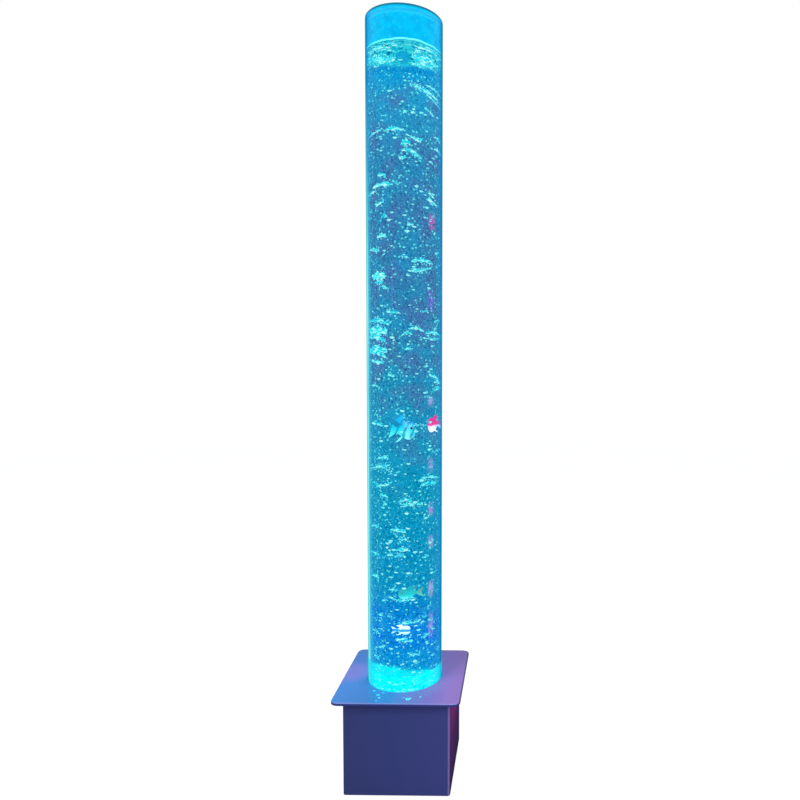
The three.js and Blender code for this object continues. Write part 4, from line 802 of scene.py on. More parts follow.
# %% Domes and crests of froth
STATIONS = 26
SECTION = 12
CREST_REACH = BORE_RADIUS - 0.95 * MM
CREST_DEPTH = 0.8 * MM
CRESTS = (
    # height, from, to, arch, slope, half thickness
    (1413, -73, -17, -6, -14, 5.0), (1411, 13, 74, -9, 22, 2.4), (1415, 13, 56, -3, 6, 5.0),
    (1434, 20, 70, -2, 6, 1.6), (1426, -66, -26, 4, -4, 1.8), (1250, -8, 12, 7, 2, 5.0),
    (1005, -62, -38, 2, -2, 6.5), (901, -69, -34, 2, 0, 8.0), (866, -68, -34, 2, 0, 6.5),
    (1352, 8, 70, 5, -17, 2.6), (1345, 22, 72, 3, -24, 1.3), (1361, 40, 72, 4, -8, 1.5),
    (1318, 38, 58, 2, -12, 1.8), (1311, -4, 6, 0, 0, 1.6), (1310, 12, 22, 1, 0, 1.8),
    (1275, -72, -40, 2, 9, 1.5), (1276, -42, 2, 4, 0, 2.9), (1268, 0, 28, -2, -8, 1.5),
    (1265, 18, 36, -3, 0, 2.5), (1272, 56, 73, 2, -8, 1.9), (1250, 58, 72, 3, -6, 2.2),
    (1238, -6, 20, 4, -2, 3.0), (1229, -12, 2, -3, 3, 3.0), (1233, 12, 34, 2, -9, 3.0),
    (1195, -52, -36, 2, -2, 3.4), (1176, -62, -22, 3, 1, 3.6), (1165, -70, -56, 2, 6, 2.4),
    (1180, -24, -12, 1, -7, 1.6), (1150, 42, 64, 3, -7, 2.2), (1163, 44, 60, 2, -8, 1.7),
    (1142, -56, -40, 2, 8, 2.6), (1118, -46, -34, 2, 4, 2.4), (1103, 4, 18, 2, 2, 2.2),
    (1080, -54, -34, 3, 0, 3.4), (1056, -68, -48, 3, -3, 3.0), (1042, -8, 8, 3, -4, 2.2),
    (1034, 12, 56, 5, 0, 3.4), (1024, 14, 54, -3, 6, 2.0), (1019, 14, 34, -2, 2, 2.0),
    (1008, -64, -36, 2, -2, 5.2), (997, -58, -42, -2, 0, 3.0), (985, -46, -30, 1, -6, 1.9),
    (938, -36, -8, 1, -3, 2.2), (941, 34, 48, 1, -2, 1.5), (925, 58, 70, 1, 1, 1.8),
    (918, -70, -30, 5, -6, 3.8), (902, -72, -36, 4, -8, 4.6), (888, -72, -38, 3, -9, 4.4),
    (905, 6, 40, 4, -6, 2.0), (894, -8, 16, 6, 3, 2.2), (898, 40, 73, 4, -4, 3.2),
    (892, 42, 74, -3, 2, 1.5), (868, 0, 12, 2, 0, 2.6), (870, -64, -42, 3, -5, 2.6),
    (858, -70, -36, 4, -10, 4.2), (846, -66, -40, -3, -4, 3.4), (818, -34, -20, 1, -4, 2.6),
    (814, 48, 68, 3, -10, 2.4), (797, -66, -52, 1, 0, 1.8), (802, 58, 72, 4, -4, 3.6),
    (790, 56, 72, 3, 2, 3.2), (722, -66, -42, 3, -3, 3.2), (722, -4, 46, 1, -1, 0.6),
    (668, 58, 72, 1, 3, 1.4), (655, -56, -30, 5, 2, 2.4), (646, -54, -28, -4, 3, 2.0),
    (628, -72, -24, 12, -4, 1.2), (613, -68, -24, -9, 2, 2.2), (612, 26, 72, 7, -3, 2.2),
    (603, 30, 66, 3, 2, 3.2), (584, -50, -34, 1, -3, 2.6), (572, -14, 18, 6, 0, 2.8),
    (566, -10, 22, 2, 4, 2.4), (567, 22, 36, 1, -2, 2.0), (542, 36, 52, -3, 6, 1.4),
    (520, -66, -52, 2, -2, 3.0), (516, -30, 2, 2, -3, 3.6), (500, -14, 4, 1, 0, 2.4),
    (477, -20, 10, 3, -2, 3.0), (464, -22, 2, 5, 0, 2.6), (466, -68, -50, 1, -5, 2.6),
    (468, -36, -24, 1, 1, 2.8), (460, 34, 48, 1, 0, 1.6), (420, -66, -52, 2, 1, 3.4),
    (399, -34, -14, 1, 1, 2.2), (384, -36, 12, -5, -6, 1.9), (376, -48, -34, 1, 3, 1.8),
    (345, -56, -44, 1, 0, 2.0), (344, -36, -26, 1, -3, 1.8), (340, 34, 44, 1, 2, 1.5),
    (333, -14, 18, 1, 1, 2.8), (334, 16, 32, 1, 2, 1.8), (308, -66, -50, 2, -4, 2.4),
    (300, 36, 50, 2, 8, 3.0), (270, 4, 30, -2, -6, 1.6), (298, -19, 17, 1, -3, 3.8),
    (258, -62, -52, 1, -2, 2.6), (262, 62, 73, 2, 3, 1.6),
)


def crest_strands(rows, seed):
    """Lens-shaped strands. Along each strand the height is its own plus arch times 4t(1-t) plus slope
    times t less a half, and the section is an ellipse that shrinks with the root of 4t(1-t)."""
    ripple = np.random.default_rng(seed)
    share = np.linspace(0, 1, STATIONS)[:, None]
    swell = np.sqrt(4 * share * (1 - share))
    around = circle(SECTION)[None, :]
    strands, faces = [], []
    for number, (height, start, end, arch, slope, half) in enumerate(rows):
        angle = bearing((start + (end - start) * share) * MM, CREST_REACH)
        waves = np.cumsum(ripple.normal(0, 1, (STATIONS, 1)), 0)
        waves = (waves - waves.mean()) * 0.16
        girth = half * swell * (1 + 0.35 * np.sin(share * ripple.uniform(9, 22) + number))
        middle = height + arch * swell**2 + slope * (share - 0.5) + waves
        radius = CREST_REACH + CREST_DEPTH * swell * np.cos(around)
        upward = (middle + girth * np.sin(around)) * MM
        strands.append(round_the_tube(radius, angle + 0 * around, upward).reshape(-1, 3))
        faces.append(knit(STATIONS, SECTION) + number * STATIONS * SECTION)
    return np.concatenate(strands), np.concatenate(faces)


print(len(CRESTS), "crests placed by eye")

# %% [markdown]
# Froth is lit from below. Its paint runs from azure to near white by how far the skin faces down and by a
# mottle, and its ragged rim lets the water behind it through. Small flat bubbles are strewn along every
# strand, so that a crest breaks up into spray.

# %% Froth and its spray
def froth():
    """Froth lit from below: azure over the top of a dome, cyan, then near white along its lower rim."""
    look = Look("lit_froth", Roughness=0.3, Emission_Strength=0.76, IOR=WATER_INDEX)
    drawn = look.stretched(look.spot(), (0.55, 0.55, 1.5))
    facing_up = look.axes(put(look.tree, "NewGeometry").outputs["Normal"])[2]
    tilt = look.spread(facing_up, 1.0, -1.0, -0.34, 0.18)
    mottled = look.scaled(look.noise(drawn, 4, 3.0), 1.7, tilt)
    look.lit(look.ramp(mottled, ((0.4, 0x0094D0), (0.56, 0x00C0D8), (0.76, 0x1CE0DC), (0.9, 0xA4FCE6),
                                 (1.0, 0xF4FFF4))))
    thin = look.scaled(look.noise(drawn, 3.5, 3.0), 1.1, look.facing())
    look.give(look.spread(thin, 0.75, 1.25, 0.95, 0.0), "Alpha")
    return look.material


def crest_sprays(rows, seed, per_millimetre=1.1):
    """Small flat bubbles strewn along each strand, thicker in its middle and spread by twice its height."""
    strewn = np.random.default_rng(seed)
    table = np.array(rows, float)
    counts = (np.abs(table[:, 2] - table[:, 1]) * per_millimetre).astype(int)
    height, start, end, arch, slope, half = np.repeat(table, counts, 0).T
    share = strewn.beta(1.6, 1.6, len(height))
    swell = np.sqrt(4 * share * (1 - share))
    angle = bearing((start + (end - start) * share) * MM, CREST_REACH)
    level = height + arch * swell**2 + slope * (share - 0.5)
    level = (level + strewn.normal(0, 1, len(height)) * (1.2 + 0.9 * half * swell)) * MM
    size = strewn.uniform(0.5, 1.3, len(height)) * MM
    scale = np.stack([np.full(len(height), 0.7 * MM), 1.3 * size, size * 0.75], -1)
    place = round_the_tube(WALL_REACH, angle, level)
    return scattered(*ball(1), place, angle, scale)


lit_froth = froth()
build("froth_crests", *crest_strands(CRESTS, 3), lit_froth)
build("froth_sprays", *crest_sprays(CRESTS, 41), flat_air)

# %% [markdown]
# The sides and the back carry crests too. Their heights and places are drawn at random, but from the same
# ranges as the ones at the front, and they keep out of the front, where each one is listed.

# %% Crests on the far side
FAR_CRESTS = 70
far = np.random.default_rng(11)
far_rows = []
for far_height in np.linspace(255, 1375, FAR_CRESTS):
    far_rows.append((far_height, -8 + far.uniform(-4, 4), far.uniform(4, 30), far.uniform(-3, 6),
                     far.uniform(-8, 8), far.uniform(1.5, 3.6)))


def turned_by(points, angles_by_strand):
    """Each strand's points turned about the tube's axis by that strand's own angle."""
    strands = points.reshape(len(angles_by_strand), -1, 3)
    sine, cosine = np.sin(angles_by_strand)[:, None], np.cos(angles_by_strand)[:, None]
    x, y, z = (strands[..., axis] for axis in range(3))
    return np.stack([x * cosine - y * sine, x * sine + y * cosine, z], -1).reshape(-1, 3)


far_points, far_faces = crest_strands(far_rows, 5)
far_angles = far.uniform(1.7, 2 * np.pi - 1.5, FAR_CRESTS)
build("froth_crests_far_side", turned_by(far_points, far_angles), far_faces, lit_froth)

# %% [markdown]
# Where the water meets the wall it climbs a millimetre or two and catches the light as a bright ring.
# Just under the surface the froth gathers in curved streaks, one above another, which give the pale
# mottled band below the ring.

# %% Ring of light at the water's surface
RING_HALF = 1.7 * MM
SLOSH = 2.6 * MM
RING_STEPS, RING_SIDES = 240, 10


def ring_of_light():
    """A closed ring whose section is an ellipse, taller than deep. Its height wavers a little, and it
    rises at the front where the water is heaped by the bubbles."""
    angle = circle(RING_STEPS)[None, :]
    around = circle(RING_SIDES)[:, None]
    waver = 0.5 * MM * np.sin(5 * angle) + 0.3 * MM * np.sin(13 * angle + 1)
    waver = waver + SLOSH * np.cos(angle - 0.4)
    radius = CREST_REACH + 0.7 * MM * np.cos(around) + 0 * angle
    height = WATER_LEVEL - 0.4 * MM + waver + RING_HALF * np.sin(around)
    points = round_the_tube(radius, angle + 0 * around, height)
    return points, knit(RING_SIDES, RING_STEPS, round_rows=True)


pale_air = bright_air("pale_air_line", (0x90FFF0, 0x70F8EC, 0x30D8E4), 0.95)
build("surface_ring", *ring_of_light(), pale_air)
streaks = np.random.default_rng(23)
surface_rows = []
for streak_height in np.linspace(1394, 1434, 46):
    width = streaks.uniform(6, 20)
    start = streaks.uniform(-70, 70 - width)
    if streak_height < 1428 and -16 < start + width and start < 11:
        continue
    surface_rows.append((streak_height, start, start + width, streaks.uniform(0, 3),
                         streaks.uniform(-4, 2), streaks.uniform(0.6, 1.7)))
build("surface_streaks", *crest_strands(surface_rows, 31), lit_froth)
streak_points, streak_faces = crest_strands(surface_rows, 37)
for turn, name in ((2.1, "left"), (4.2, "right")):
    turned_streaks = turned_by(streak_points, np.full(len(surface_rows), turn))
    build("surface_streaks_far_" + name, turned_streaks, streak_faces, lit_froth)

# %% [markdown]
# Above the water the inside of the tube is misted: fine drops settle on the wall and glow in the light
# from below. A thin sleeve just inside the bore carries them. It is cyan and lets a little through between
# the drops.

# %% Mist above the water
MIST_REACH = BORE_RADIUS - 0.6 * MM
mist_foot = WATER_LEVEL + MENISCUS + 0.6 * MM
mist_top = lid_low[2] - 0.4 * MM


def mist():
    """Condensation: a bright cyan film, mottled at the size of a group of drops."""
    look = Look("condensation_film", Roughness=0.5, Emission_Strength=0.95, Specular_IOR_Level=0.1)
    spot = look.spot()
    drops = look.noise(spot, 16, 4.0)
    tone = look.ramp(drops, ((0.34, 0x00BAEE), (0.5, 0x00C4F6), (0.66, 0x00D0FC)))
    speck = look.spread(look.cells(spot, 11), 0.35, 0.12, high=0.6)
    look.lit(look.mix(speck, tone, 0x2EDCF8), 0.8)
    look.give(look.spread(drops, 0.3, 0.6, 0.86, 0.97), "Alpha")
    return look.material


sleeve = [(MIST_REACH, mist_foot), (MIST_REACH, mist_top), (MIST_REACH - 0.3 * MM, mist_top),
          (MIST_REACH - 0.3 * MM, mist_foot)]
build("mist_film", *turned(sleeve), mist())

# %% [markdown]
# The lid is turned from acrylic and frosted by the mist. It fills with light and passes it to its rim,
# which looks dark teal where the sawn edge is seen against the light. The plug at the other end stands
# over the lamps, so it is the brightest thing in the object: pure cyan, with the crumpled glints of
# cemented acrylic.

# %% Lid and plug
def glowing_acrylic(name, tones, crumple, strength, rim=None):
    """Acrylic full of light: three tones in folded streaks, with a bump that breaks up its shine. Where a
    rim has a tone of its own, the glow takes it within a millimetre of the tube's radius."""
    dim, bright, pale = tones
    look = Look(name, Roughness=0.18, IOR=ACRYLIC, Emission_Strength=strength)
    spot = look.spot()
    folds = look.noise(look.stretched(spot, (1, 1, 1.8)), crumple, 4.0, Distortion=1.6)
    tone = look.ramp(folds, ((0.3, dim), (0.42, bright), (0.58, bright), (0.72, pale)))
    look.lit(tone, 0.8)
    if rim:
        reach = look.vector("LENGTH", look.vector("MULTIPLY", spot, (1, 1, 0)))
        near = look.spread(reach, TUBE_RADIUS - 1.6 * MM, TUBE_RADIUS - 0.6 * MM)
        look.give(look.mix(near, tone, rim), "Emission Color")
    look.raised(folds, 0.4, 0.6)
    return look.material


frosted = glowing_acrylic("turned_frosted_acrylic", (0x00B4E4, 0x00CCF8, 0x20DEFC), 30, 0.95, rim=0x00566C)
softened("lid", frosted, 0.3 * MM, body="lid")
cemented = glowing_acrylic("cemented_lit_acrylic", (0x00C4E4, 0x00FAFF, 0xBEFFFF), 12, 1.0)
softened("tube_plug", cemented, 0.4 * MM)

# %% [markdown]
# A few drops of water lie on the plate in front of the tube. A drop on acrylic is a flat dome, held by its
# skin, and it shows the cyan of the tube. Each is a dome turned about its own middle, with a wavering edge.

# %% Water drops on the plate
DROPS = ((22.6, -102.6, 5.6), (-38.3, -88.0, 4.0), (-33.9, -99.9, 2.6), (-49.5, -72.0, 2.2),
         (-37.2, -111.7, 2.0), (-30.2, -79.8, 2.4), (44.5, -94.2, 2.0), (13.0, -97.0, 1.6))
DOME_ROWS, FOOT_ROWS, DROP_SIDES = 8, 3, 24


def plate_drops():
    """Domes: the height falls from the middle with the root of one less the share of radius squared,
    and a flat foot closes each one a hair above the plate."""
    rows = DOME_ROWS + FOOT_ROWS
    share = np.concatenate([np.linspace(0, 1, DOME_ROWS), np.linspace(0.8, 0, FOOT_ROWS)])[:, None]
    lift = np.where(np.arange(rows)[:, None] < DOME_ROWS, np.sqrt(1 - np.minimum(share, 1) ** 2), 0)
    around = circle(DROP_SIDES)[None, :]
    points, faces = [], []
    for number, (x, y, size) in enumerate(DROPS):
        edge = size * (1 + 0.12 * np.sin(3 * around + number) + 0.06 * np.sin(5 * around))
        height = PLATE_TOP + 0.04 * MM + 0.26 * size * MM * lift + 0 * around
        ring = np.stack([(x + share * edge * np.cos(around)) * MM,
                         (y + 0.8 * share * edge * np.sin(around)) * MM, height], -1)
        points.append(ring.reshape(-1, 3))
        faces.append(knit(rows, DROP_SIDES) + number * rows * DROP_SIDES)
    return np.concatenate(points), np.concatenate(faces)


def drop_water():
    """Water on the plate: clear, with the tube's cyan caught round its rim."""
    look = Look("water_drops", Roughness=0.02, IOR=WATER_INDEX, Transmission_Weight=0.85,
                Emission_Strength=0.5)
    glow = look.ramp(look.facing(), ((0.0, 0x0A5A80), (0.5, 0x10A8C8), (1.0, 0x60F0F4)))
    look.give(glow, "Emission Color")
    swirl = look.noise(look.spot(), 3)
    look.give(look.ramp(swirl, ((0.3, 0x9CE4F4), (0.7, 0xD8F8FF))), "Base Color")
    return look.material


build("plate_drops", *plate_drops(), drop_water())

# %% [markdown]
# The fish are small moulded plastic ones, a little heavier than water, that ride up and down in the
# bubbles. Each is one oval body, fullest behind the head, with a forked tail and fins. The body is a loft
# of ellipses, and a fin is a thin lens drawn between its root and its edge. The paint follows the fish, so
# it goes by a map of its own: along the body, and from belly to back.

# %% Fish bodies and fins
FISH_RING = BORE_RADIUS - 9.5 * MM
FISH_THICK = 10 * MM
BODY_SHARE = 0.74
BODY_ROWS, BODY_SIDES = 40, 28
FIN_ROWS, FIN_COLUMNS = 12, 17
EYE_ROWS, EYE_SIDES = 7, 18


def capped(rows, sides):
    """Faces of a grid that is round one way, with one more face over its last row."""
    return knit(rows, sides).tolist() + [((rows - 1) * sides + np.arange(sides)).tolist()]


def fish_body(length, height):
    """Ellipses along the fish: girth is the sine of pi times u to the 0.62, to the 0.75, and no less than
    a fifth of the root of u. The map is u along the body, and the upward share across it."""
    u = np.linspace(0, 1, BODY_ROWS)[:, None] ** 1.15
    angle = circle(BODY_SIDES)[None, :]
    girth = np.maximum(np.abs(np.sin(np.pi * u**0.62)) ** 0.75, 0.2 * np.sqrt(u))
    girth[0] = 0
    belly = 1 - 0.1 * np.sin(np.pi * u) * (np.sin(angle) > 0)
    x = length / 2 - u * length * BODY_SHARE + 0 * angle
    y = np.cos(angle) * girth * FISH_THICK / 2
    z = np.sin(angle) * girth * belly * height / 2
    maps = np.stack([u * BODY_SHARE + 0 * angle, 0.5 + z / height], -1)
    faces = capped(BODY_ROWS, BODY_SIDES)
    return np.stack([x, y, z], -1).reshape(-1, 3), faces, maps.reshape(-1, 2)


def fish_fin(length, height, root, tip, spread, notch, lean=0.0):
    """A thin lens. Across it t goes from one edge to the other, and s from root to tip: the length
    shrinks by the notch in the middle, the width grows from root to spread, and fine rays ripple it. With
    a lean the fin also stretches along the body, by lean times t times 0.6 plus 0.4 s."""
    s = np.linspace(0, 1, FIN_ROWS)[:, None, None]
    t = np.linspace(-1, 1, FIN_COLUMNS)[None, :, None]
    face = np.array([1.0, -1.0])[None, None, :]
    run = 1 - notch * (1 - np.abs(t) ** 1.4)
    x = root[0] + (tip[0] - root[0]) * s * run + lean * (0.6 + 0.4 * s) * t
    z = root[1] + (tip[1] - root[1]) * s * run + spread * t * (0.24 + 0.76 * s**0.8)
    rays = 1 + 0.3 * np.cos(9 * np.pi * t)
    thick = 0.9 * MM * rays * (1 - s**4) * (1 - t**6) * (s > 0) * 0.5
    grid = np.stack(np.broadcast_arrays(x * length, thick * face, z * height), -1)
    points = grid.transpose(2, 0, 1, 3).reshape(-1, 3)
    front = knit(FIN_ROWS, FIN_COLUMNS, round_columns=False)
    faces = np.concatenate([front, front[:, ::-1] + FIN_ROWS * FIN_COLUMNS]).tolist()
    maps = np.stack([0.5 - points[:, 0] / length, 0.5 + points[:, 2] / height], -1)
    return points, faces, maps


def fish_eye(length, height, side):
    """A small button on the head: a half ball whose map gives the distance from its middle."""
    s = np.linspace(0, 1, EYE_ROWS)[:, None]
    angle = circle(EYE_SIDES)[None, :]
    size = 0.085 * height
    x = 0.36 * length + size * np.sin(s * np.pi / 2) * np.cos(angle)
    z = 0.09 * height + size * np.sin(s * np.pi / 2) * np.sin(angle)
    y = side * (0.36 * FISH_THICK + 0.55 * size * np.cos(s * np.pi / 2) + 0 * angle)
    faces = capped(EYE_ROWS, EYE_SIDES)
    maps = np.stack([s + 0 * angle, 0 * s + 0 * angle], -1).reshape(-1, 2)
    return np.stack([x, y, z], -1).reshape(-1, 3), faces, maps


print("a fish is", FISH_THICK, "thick and swims at", round(FISH_RING, 4), "from the axis")

# %% [markdown]
# The four paints differ. One fish is pale with dark bars, one is hot pink with a white belly, one is green
# with a brown tail, and one is plain white. All of them sit in cyan light, which the glow of each paint
# stands for. Moulded plastic is smooth with a soft shine, and its paint is sprayed, so its edges are soft.

# %% Fish paint
def fish_paint(name, along, upward, mix, bar=None, glow=0.9):
    """Sprayed paint: one ramp along the body, one from belly to back, mixed by a share, then dark bars
    at even steps along the body where the fish has them."""
    look = Look(name, Roughness=0.35, Emission_Strength=glow, IOR=1.5)
    place, height, _ = look.axes(put(look.tree, "UVMap").outputs[0])
    spot = look.spot()
    shift = look.scaled(look.noise(spot, 6, 3.0), 0.2, -0.1)
    far, high = (look.sum_of("ADD", share, shift) for share in (place, height))
    paint = look.mix(mix, look.ramp(far, along), look.ramp(high, upward))
    if bar:
        bow = look.sum_of("MULTIPLY", height, height)
        step = look.sum_of("MODULO", look.scaled(bow, 0.3, far), bar)
        band = look.ramp(step, [(bar * share, dark) for share, dark in
                                ((0.0, 0.0), (0.28, 0.0), (0.46, 0.8), (0.54, 0.8), (0.74, 0.0))])
        paint = look.mix(band, paint, 0x067C90)
    look.lit(paint)
    look.raised(look.cells(spot, 1.6), 0.25, 0.15)
    return look.material


def eye_paint():
    """A glossy eye: black pupil, pale ring, dark rim, by the distance from its middle."""
    look = Look("glossy_painted_eye", Roughness=0.1, Emission_Strength=0.4)
    middle = look.axes(put(look.tree, "UVMap").outputs[0])[0]
    look.lit(look.ramp(middle, ((0.0, 0x05080C), (0.42, 0x05080C), (0.5, 0xE8D8E4), (0.8, 0xD8B8D0),
                                (0.95, 0x2A4A58))))
    return look.material


painted_eye = eye_paint()
PAINTS = {
    "fish_striped": fish_paint("sprayed_plastic_striped",
                               [(0.1, 0x30C0EC), (0.3, 0xB8FFF6), (0.5, 0x20E0E4), (1.0, 0x10D0D0)],
                               [(0.0, 0xB0FFF0), (0.2, 0x78F8EC), (0.5, 0x18D8E4), (0.75, 0x0094E4),
                                (1.1 / 1.3, 0x0888E0)], 0.6, 0.3),
    "fish_pink": fish_paint("sprayed_plastic_pink", [(0.0, 0xFF5CAE), (1.0, 0xF038A0)],
                            [(0.3, 0xF0D8E4), (0.42, 0xF0C0D8), (0.5, 0xF01C70), (1.0, 0xE41468)],
                            0.92, glow=1.5),
    "fish_green": fish_paint("sprayed_plastic_green",
                             [(0.1, 0x46B4A8), (0.45, 0x14C0BE), (0.72, 0x5CA88C), (0.9, 0x9C9A54)],
                             [(0.1, 0x7CFFF0), (0.4, 0x10D0CC), (0.9, 0x18809C)], 0.5),
    "fish_white": fish_paint("moulded_plastic_white", [(0.0, 0xF8FFFF), (1.0, 0xD8FAFF)],
                             [(0.0, 0xE8FFFC), (0.3, 0xE8FFFC), (0.36, 0x1090E4), (0.6, 0x1090E4),
                              (0.66, 0xFFFFFF), (1.0, 0xFFFFFF)], 0.96, glow=1.1),
}
print("paints for", list(PAINTS))

# %% [markdown]
# Each fish is put together lying along its own length, then turned to face its way round the tube and
# moved out to the ring where it swims. Its middle is listed as a bearing and a level, for the packed part
# that it stands for, and that part is hidden.

# %% School of fish
SCHOOL = (
    # node, length, height, bearing, level, heading, size of its fins
    ("fish_striped", 50, 38, 0.081, 0.396, 1, 1.6), ("fish_pink", 46, 30, 1.26, 0.402, -1, 1.0),
    ("fish_green", 48, 23, 0.352, 0.149, -1, 1.0), ("fish_white", 36, 18, 0.036, 0.0926, 1, 1.0),
)


def put_together(node, length, height, angle, level, heading, fins):
    """Body, tail, back fin, belly fin and eyes joined into one piece: it is turned by its angle round the
    tube, and by half a turn where it heads left, and then moved out to its ring and up to its level."""
    size = length * MM, height * MM
    back_tip, belly_tip = (-0.1 * fins, 0.36 + 0.2 * fins), (-0.12 * fins, -0.34 - 0.18 * fins)
    parts = [
        fish_body(*size),
        fish_fin(*size, (-0.2, 0.0), (-0.5, 0.0), 0.42, 0.28),
        fish_fin(*size, (0.08, 0.28), back_tip, 0.06 * fins, 0.0, lean=0.15),
        fish_fin(*size, (0.06, -0.28), belly_tip, 0.05 * fins, 0.0, lean=0.11),
        fish_eye(*size, 1), fish_eye(*size, -1),
    ]
    starts = np.cumsum([0] + [len(points) for points, _, _ in parts])
    points = np.concatenate([points for points, _, _ in parts])
    maps = np.concatenate([plan for _, _, plan in parts])
    faces = [[corner + start for corner in face]
             for start, (_, group, _) in zip(starts, parts) for face in group]
    eye_faces = sum(len(group) for _, group, _ in parts[-2:])
    turn = angle + (0 if heading > 0 else math.pi)
    middle = round_the_tube(FISH_RING, angle, PLATE_TOP + level * TUBE_RISE)
    placed = turned_by(points, np.array([turn])) + middle
    mesh = bpy.data.meshes.new(node + "_painted")
    mesh.from_pydata(placed.tolist(), [], faces)
    corners = np.empty(len(mesh.loops), int)
    mesh.loops.foreach_get("vertex_index", corners)
    mesh.uv_layers.new(name="paint_map").data.foreach_set("uv", maps[corners].ravel())
    is_eye = np.arange(len(faces)) >= len(faces) - eye_faces
    mesh.polygons.foreach_set("material_index", is_eye.astype(int))
    mesh.materials.append(PAINTS[node])
    mesh.materials.append(painted_eye)
    seal_shell(mesh)
    body = node.split("_")[1] + "_fish"
    return settle(bpy.data.objects.new(node + "_painted", mesh), body, (node,))


for one in SCHOOL:
    put_together(*one)

# %% [markdown]
# The rest of the lamp is working parts that keep the shape of the packed model and need only a finish.
# Nearly all of them are one recipe with other numbers. Three tones of the real material drift over the
# surface at the size of its grain, its gloss drifts with them, and a fine relief breaks up highlights.

# %% One recipe for grained finishes
dressed = set()


def grained(name, tones, size, gloss, depth, stretch=(1, 1, 1), bands=None, **sockets):
    """A solid finish: grain of that size in millimetres, drawn out by the stretch, spreads three tones and
    the gloss between two roughness values, and raises the surface by the depth in millimetres. Bands, where
    there are any, are the millimetres from one to the next, a dark tone, its share, how uneven they are, and
    the wave's settings. A wave texture has one band in every 0.314 of its unit."""
    look = Look(name, **sockets)
    spot = look.spot()
    grain = look.noise(look.stretched(spot, stretch), size, 4.0)
    paint = look.ramp(grain, zip((0.36, 0.5, 0.64), tones))
    if bands:
        gap, dark, share, uneven, settings = bands
        inputs = {"Vector": spot, "Scale": 0.314 * per_metre(gap), "Distortion": uneven}
        waves = put(look.tree, "TexWave", inputs, **settings).outputs["Fac"]
        paint = look.mix(look.spread(waves, 0.35, 0.8, high=share), paint, dark)
    look.give(paint, "Base Color")
    look.give(look.spread(grain, 0.3, 0.7, *gloss), "Roughness")
    look.raised(grain, 0.35, depth)
    return look.material


def dress(material, *nodes):
    """Gives CAD parts that keep their own mesh a finish."""
    for node in nodes:
        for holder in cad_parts[node].material_slots:
            holder.material = material
    dressed.update(nodes)
    print(material.name, "on", len(nodes), "parts")


CORNERS = [end + "_" + side for end in ("front", "rear") for side in ("left", "right")]
print("corners", CORNERS)

# %% [markdown]
# Moulded plastic has the fine sparkle of its steel mould, about a millimetre across, and rubber is duller,
# with a bloom that makes it patchy. The parts that show at the foot and at the back get a copy with
# rounded edges, because a moulded edge is never sharp. Those inside keep the packed mesh.

# %% Moulded plastics and rubber
black_abs = grained("moulded_black_abs", (0x17181B, 0x202226, 0x2A2C31), 1.1, (0.38, 0.55), 0.04)
grey_abs = grained("moulded_grey_abs", (0x7A8086, 0x888E94, 0x969CA2), 1.3, (0.4, 0.56), 0.04)
red_nylon = grained("moulded_red_nylon", (0xA81C18, 0xC02620, 0xD03A2C), 1.4, (0.3, 0.45), 0.04)
rubber = grained("moulded_black_rubber", (0x1A1A1C, 0x222224, 0x2C2C2E), 5, (0.7, 0.9), 0.06)
for corner in CORNERS:
    softened("foot_" + corner, rubber, 0.6 * MM)
softened("power_inlet", black_abs, 0.25 * MM)
softened("switch_body", black_abs, 0.25 * MM)
softened("switch_rocker", black_abs, 0.3 * MM, body="rocker")
softened("drain_lever", red_nylon, 0.4 * MM, body="tap_handle")
dress(black_abs, "pump_chamber", "drain_saddle", "board_tray")
dress(grey_abs, "check_valve", "pump_case", "pump_cover")
dress(rubber, "pump_pad", "pump_diaphragm")

# %% [markdown]
# The bottom cover and the shelf are raw fibreboard: felted fibres a few millimetres long, flat in the sheet.
# The corner posts are sawn pine. A post is cut along the trunk, so its growth rings run up it, and on the
# sawn end they are arcs. Rings about the upright axis, five millimetres apart, give both.

# %% Fibreboard and pine
fibreboard = grained("raw_fibreboard", (0x8A6A48, 0x9C7C56, 0xAE8E68), 3, (0.75, 0.9), 0.1,
                     stretch=(1, 1, 3))
pine = grained("sawn_pine", (0xC49A62, 0xD2AC76, 0xDEBE8C), 2.5, (0.6, 0.8), 0.12, stretch=(1, 1, 0.08),
               bands=(5, 0xA87442, 0.6, 1.5, {"wave_type": "RINGS", "rings_direction": "Z"}))
dress(fibreboard, "bottom_cover", "shelf")
dress(pine, *("corner_post_" + corner for corner in CORNERS))

# %% [markdown]
# The metals differ in colour and in how they were worked. The heat sink is extruded, so it is streaked along
# its length. Brass fittings are turned, which leaves fine rings. Screws, the tap's ball and the pump's
# arm are zinc plated, with a cool patchy shine. The pump's core is a stack of iron sheets, a millimetre
# each, and its coil is wound from enamelled wire, whose turns show as bands.

